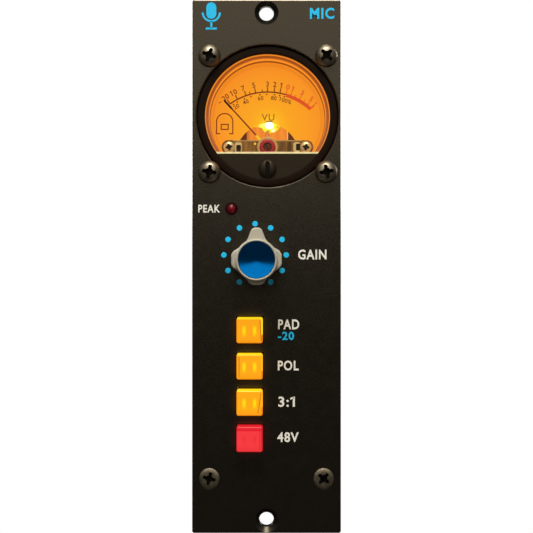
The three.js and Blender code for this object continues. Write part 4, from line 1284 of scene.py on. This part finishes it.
card_screws = []
for y, z in ((24, -48), (132, -48), (132, 48), (38, 48)):
    head = on_card("card_screw", [(0, -2), (1.5, -1.9), (2.4, -1.4), (2.8, -0.6), (2.8, 0), (0, 0)],
        card_near, y, z)
    slot = plate("cutter", rounded(2.6, 8, 0.1, (card_near - 2.6, z)), y - 0.35, y + 0.35)
    card_screws.append(combine(head, [slot]))
card_screws = wear(smooth(joined("card_screws", card_screws), 30), nickel)
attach(card_screws, "module")

# --------------------------------------------------------------------------------- transformers
# The input transformer is a drawn steel can with a rolled rim. The output transformer has a
# stack of iron laminations, a taped winding and a folded steel frame with its feet in the card.
can_low, can_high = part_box("input_transformer")
can_at = middle("input_transformer")
can_reach = (can_high.z - can_low.z) / 2 / MM
can_length = (can_high.x - can_low.x) / MM
can = on_card("input_transformer_can", [
    (0, 0.5), (can_reach - 3, 0.5), (can_reach - 2.4, 0.1), (can_reach - 1.2, 0), (can_reach - 0.4, 0.4),
    (can_reach - 0.1, 1.2), (can_reach - 0.1, can_length - 3), (can_reach, can_length - 2.6),
    (can_reach, can_length - 0.2), (can_reach - 0.2, can_length), (0, can_length)], can_low.x / MM,
    can_at.y, can_at.z, 96)
can_steel = plated("drawn_steel", tone(190, 192, 192), tone(140, 142, 142), 0.24, 900, 0.3)
wear(smooth(can), can_steel)
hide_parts("input_transformer")
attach(can, "module")

iron, place, shader = new_finish("lamination_iron", {"Metallic": 0.9})
sheets = bands(place, "X", 640, 0.6, 1)
two_tone(sheets, tone(58, 56, 56), tone(122, 120, 116)).into(shader, "Base Color")
(0.35 + 0.2 * noise(place, 900)).into(shader, "Roughness")
bumped(sheets, 0.08, shader)
wear(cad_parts["output_transformer_core"], iron)

coil_low, coil_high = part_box("output_transformer_coil")
coil_at = middle("output_transformer_coil")
coil_size = (coil_high - coil_low) / MM
core_low, core_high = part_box("output_transformer_core")
winding = plate("output_winding", rounded(coil_size.x, coil_size.y, 3.2, (0, 0), 6),
                -coil_size.z / 2, coil_size.z / 2)
choose(winding)
bpy.ops.transform.rotate(value=pi / 2, orient_axis="X", center_override=(0, 0, 0))
winding.location = coil_at * MM
settle()
LEG = 14.1
stack = (core_high.x - core_low.x) / MM + 0.5
bore = plate("cutter", rounded(stack, 30, 0.2, (coil_at.x, coil_at.z)),
    coil_at.y - LEG / 2, coil_at.y + LEG / 2)
combine(winding, [bore])
soften(winding, 0.3)
tape, place, shader = new_finish("yellow_tape", {"Specular IOR Level": 0.5})
wraps = bands(place, "Z", 60, 1.5, 2)
two_tone(wraps, tone(214, 176, 66), tone(176, 136, 40)).into(shader, "Base Color")
(0.25 + 0.2 * noise(place, 700)).into(shader, "Roughness")
bumped(wraps, 0.12, shader)
wear(winding, tape)
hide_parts("output_transformer_coil")
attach(winding, "module")
wear(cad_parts["output_transformer_frame"], zinc)

# ------------------------------------------------------------------------- parts on the main card
# Electrolytic capacitors in printed sleeves, film capacitors, resistors, two relays and a potted
# amplifier block are soldered through the card.
sleeve = moulded("blue_sleeve", tone(30, 58, 120), tone(24, 46, 98), 0.3)
red_sleeve = moulded("red_sleeve", tone(176, 30, 30), tone(150, 22, 24), 0.4)
for name in ("supply_capacitor_positive", "supply_capacitor_negative", "coupling_capacitor"):
    low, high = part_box(name)
    at = middle(name)
    reach, length = (high.z - low.z) / 2 / MM, (high.x - low.x) / MM
    body = on_card(name + "_sleeve", [
        (0, 0.25), (reach - 1.1, 0.25), (reach - 1, 0.05), (reach - 0.5, 0), (reach - 0.12, 0.25),
        (reach, 0.8),
        (reach, length - 3), (reach - 0.45, length - 2.4), (reach - 0.45, length - 2), (reach, length - 1.4),
        (reach, length - 0.3), (reach - 0.3, length), (0, length)], low.x / MM, at.y, at.z, 64)
    vent = [plate("vent", rounded(0.5, 2 * reach - 3.2, 0.1, (low.x / MM + 0.1, at.z), 2), at.y - 0.15,
            at.y + 0.15),
            plate("vent", rounded(0.5, 0.3, 0.1, (low.x / MM + 0.1, at.z), 2), at.y - reach + 1.6,
            at.y + reach - 1.6)]
    sunk(body, combine(vent[0], [vent[1]], "UNION"), sleeve, can_steel)
    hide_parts(name)
    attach(body, "module")


def stood(name, x0, x1, y, z, wide, tall, radius=0.6, edge=0.25):
    """A rounded block standing on the card from x0 to x1."""
    piece = plate(name, rounded(wide, tall, radius, (y, z), 4), -x1, -x0)
    choose(piece)
    bpy.ops.transform.rotate(value=-pi / 2, orient_axis="Z", center_override=(0, 0, 0))
    settle()
    return soften(piece, edge)


potting = moulded("black_epoxy", tone(30, 30, 32), tone(22, 22, 24), 0.4)
relay_white = moulded("relay_cover", tone(232, 228, 216), tone(214, 209, 196), 0.3)
for node, material, radius in (("amplifier_block", potting, 1.2), ("pad_relay", relay_white, 0.5),
                               ("phantom_relay", relay_white, 0.5)):
    low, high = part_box(node)
    at = middle(node)
    size = (high - low) / MM
    foot = 5.2 if node == "amplifier_block" else high.x / MM
    block = stood(node + "_moulding", low.x / MM, foot, at.y, at.z, size.y, size.z, radius)
    well = stood("cutter", low.x / MM - 1, low.x / MM + 0.25, at.y, at.z, size.y - 2.4, size.z - 2.4,
        radius, 0.05)
    wear(smooth(combine(block, [well])), material)
    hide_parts(node)
    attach(block, "module")
    if node == "amplifier_block":
        spots = ((-11, -11), (-11, 0), (-11, 11), (11, -11), (11, -4), (11, 4), (11, 11))
        pins = joined("amplifier_pins", [on_card("pin", [(0, 0), (0.55, 0), (0.55, 6.3), (0, 6.3)], 5.2,
                                                at.y + dy, at.z + dz, 16) for dy, dz in spots])
        wear(smooth(pins), gold)
        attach(pins, "module")

bodies, ends = [], []
for y, z in [(44 + 5.2 * k, -8 + 3 * (k % 2)) for k in range(6)] + [(64, 12), (64, 17), (64, 22), (70, 34),
    (76, 34)]:
    bodies.append(on_card("resistor", [(0, 0), (0.9, 0.1), (1.15, 0.5), (1.15, 1.3), (0.95, 1.7),
                                      (0.95, 5.1), (1.15, 5.5),
                                      (1.15, 6.3), (0.9, 6.7), (0, 6.8)], card_near - 7.6, y, z, 20))
    ends.append(on_card("lead", [(0, 0), (0.3, 0), (0.3, 8.6), (0, 8.6)], card_near - 8.6, y, z, 12))
resistors = smooth(joined("resistors", bodies))
beige, place, shader = new_finish("banded_resistor", {"Specular IOR Level": 0.5})
along = measured(place, "X") - (card_near - 7.6)
ramp(along / 6.8, [
    (0, tone(202, 176, 132)), (0.12, tone(110, 56, 20)), (0.22, tone(202, 176, 132)),
    (0.34, tone(20, 18, 16)),
    (0.44, tone(202, 176, 132)), (0.56, tone(214, 98, 26)), (0.66, tone(202, 176, 132)),
    (0.84, tone(190, 150, 60)), (1, tone(202, 176, 132))]).into(shader, "Base Color")
(0.35 + 0.15 * noise(place, 900)).into(shader, "Roughness")
wear(resistors, beige)
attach(resistors, "module")
leads = wear(smooth(joined("resistor_leads", ends)), leg_metal)
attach(leads, "module")

films = [stood("film_capacitor", card_near - 8.5, card_near - 0.3, y, z, wide, tall, 0.8, 0.4)
         for y, z, wide, tall in ((48, 8, 10, 4.2), (48, 14.5, 10, 4.2), (84, 14, 4.2, 11), (78, 14, 4.2, 11),
                                  (84, 30, 4.2, 11))]
film_red = moulded("red_film_capacitor", tone(168, 34, 26), tone(138, 24, 20), 0.32)
film_capacitors = wear(joined("film_capacitors", films), film_red)
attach(film_capacitors, "module")

chip = stood("line_driver_chip", card_near - 4.2, card_near - 0.8, 52, 28, 6.4, 9.6, 0.3, 0.2)
wear(chip, potting)
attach(chip, "module")
legs = joined("chip_legs", [stood("leg", card_near - 2.8, card_near, 52 + side * 3.6, 28 + 2.54 * row,
                                  0.3, 0.5, 0.1, 0.03)
                            for side in (-1, 1) for row in (-1.5, -0.5, 0.5, 1.5)])
wear(legs, leg_metal)
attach(legs, "module")

trimmer = stood("level_trimmer", card_near - 9.5, card_near - 0.4, 74, 46, 9.5, 4.8, 0.4, 0.25)
trimmer_blue = moulded("trimmer_blue", tone(34, 84, 168), tone(26, 66, 140), 0.35)
wear(trimmer, trimmer_blue)
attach(trimmer, "module")
wiper = on_card("trimmer_screw", [(0, 0), (0.9, 0), (1.1, 0.2), (1.1, 0.9), (0, 0.9)], card_near - 10.2, 71,
    46, 24)
wear(smooth(wiper), turned_brass)
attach(wiper, "module")

# ---------------------------------------------------------------------------------- meter leads
# Two sleeved leads run from the meter's brass studs to turret posts on the main card.
for node, material in {"meter_terminal_left": turned_brass, "meter_terminal_right": turned_brass,
                       "meter_lead_red": red_sleeve, "meter_lead_black": black_plastic}.items():
    wear(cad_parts[node], material)
turrets = []
for y, z in ((43, 29.5), (47.4, 40.8)):
    turrets.append(on_card("turret", [(0.8, 0), (1.3, 0), (1.3, 0.4), (1, 0.6), (1, 1.6), (1.5, 1.9),
                                     (1.5, 2.3), (0.8, 2.3), (0.8, 0)], card_near - 2.3, y, z, 24))
turrets = wear(smooth(joined("lead_turrets", turrets)), turned_brass)
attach(turrets, "module")
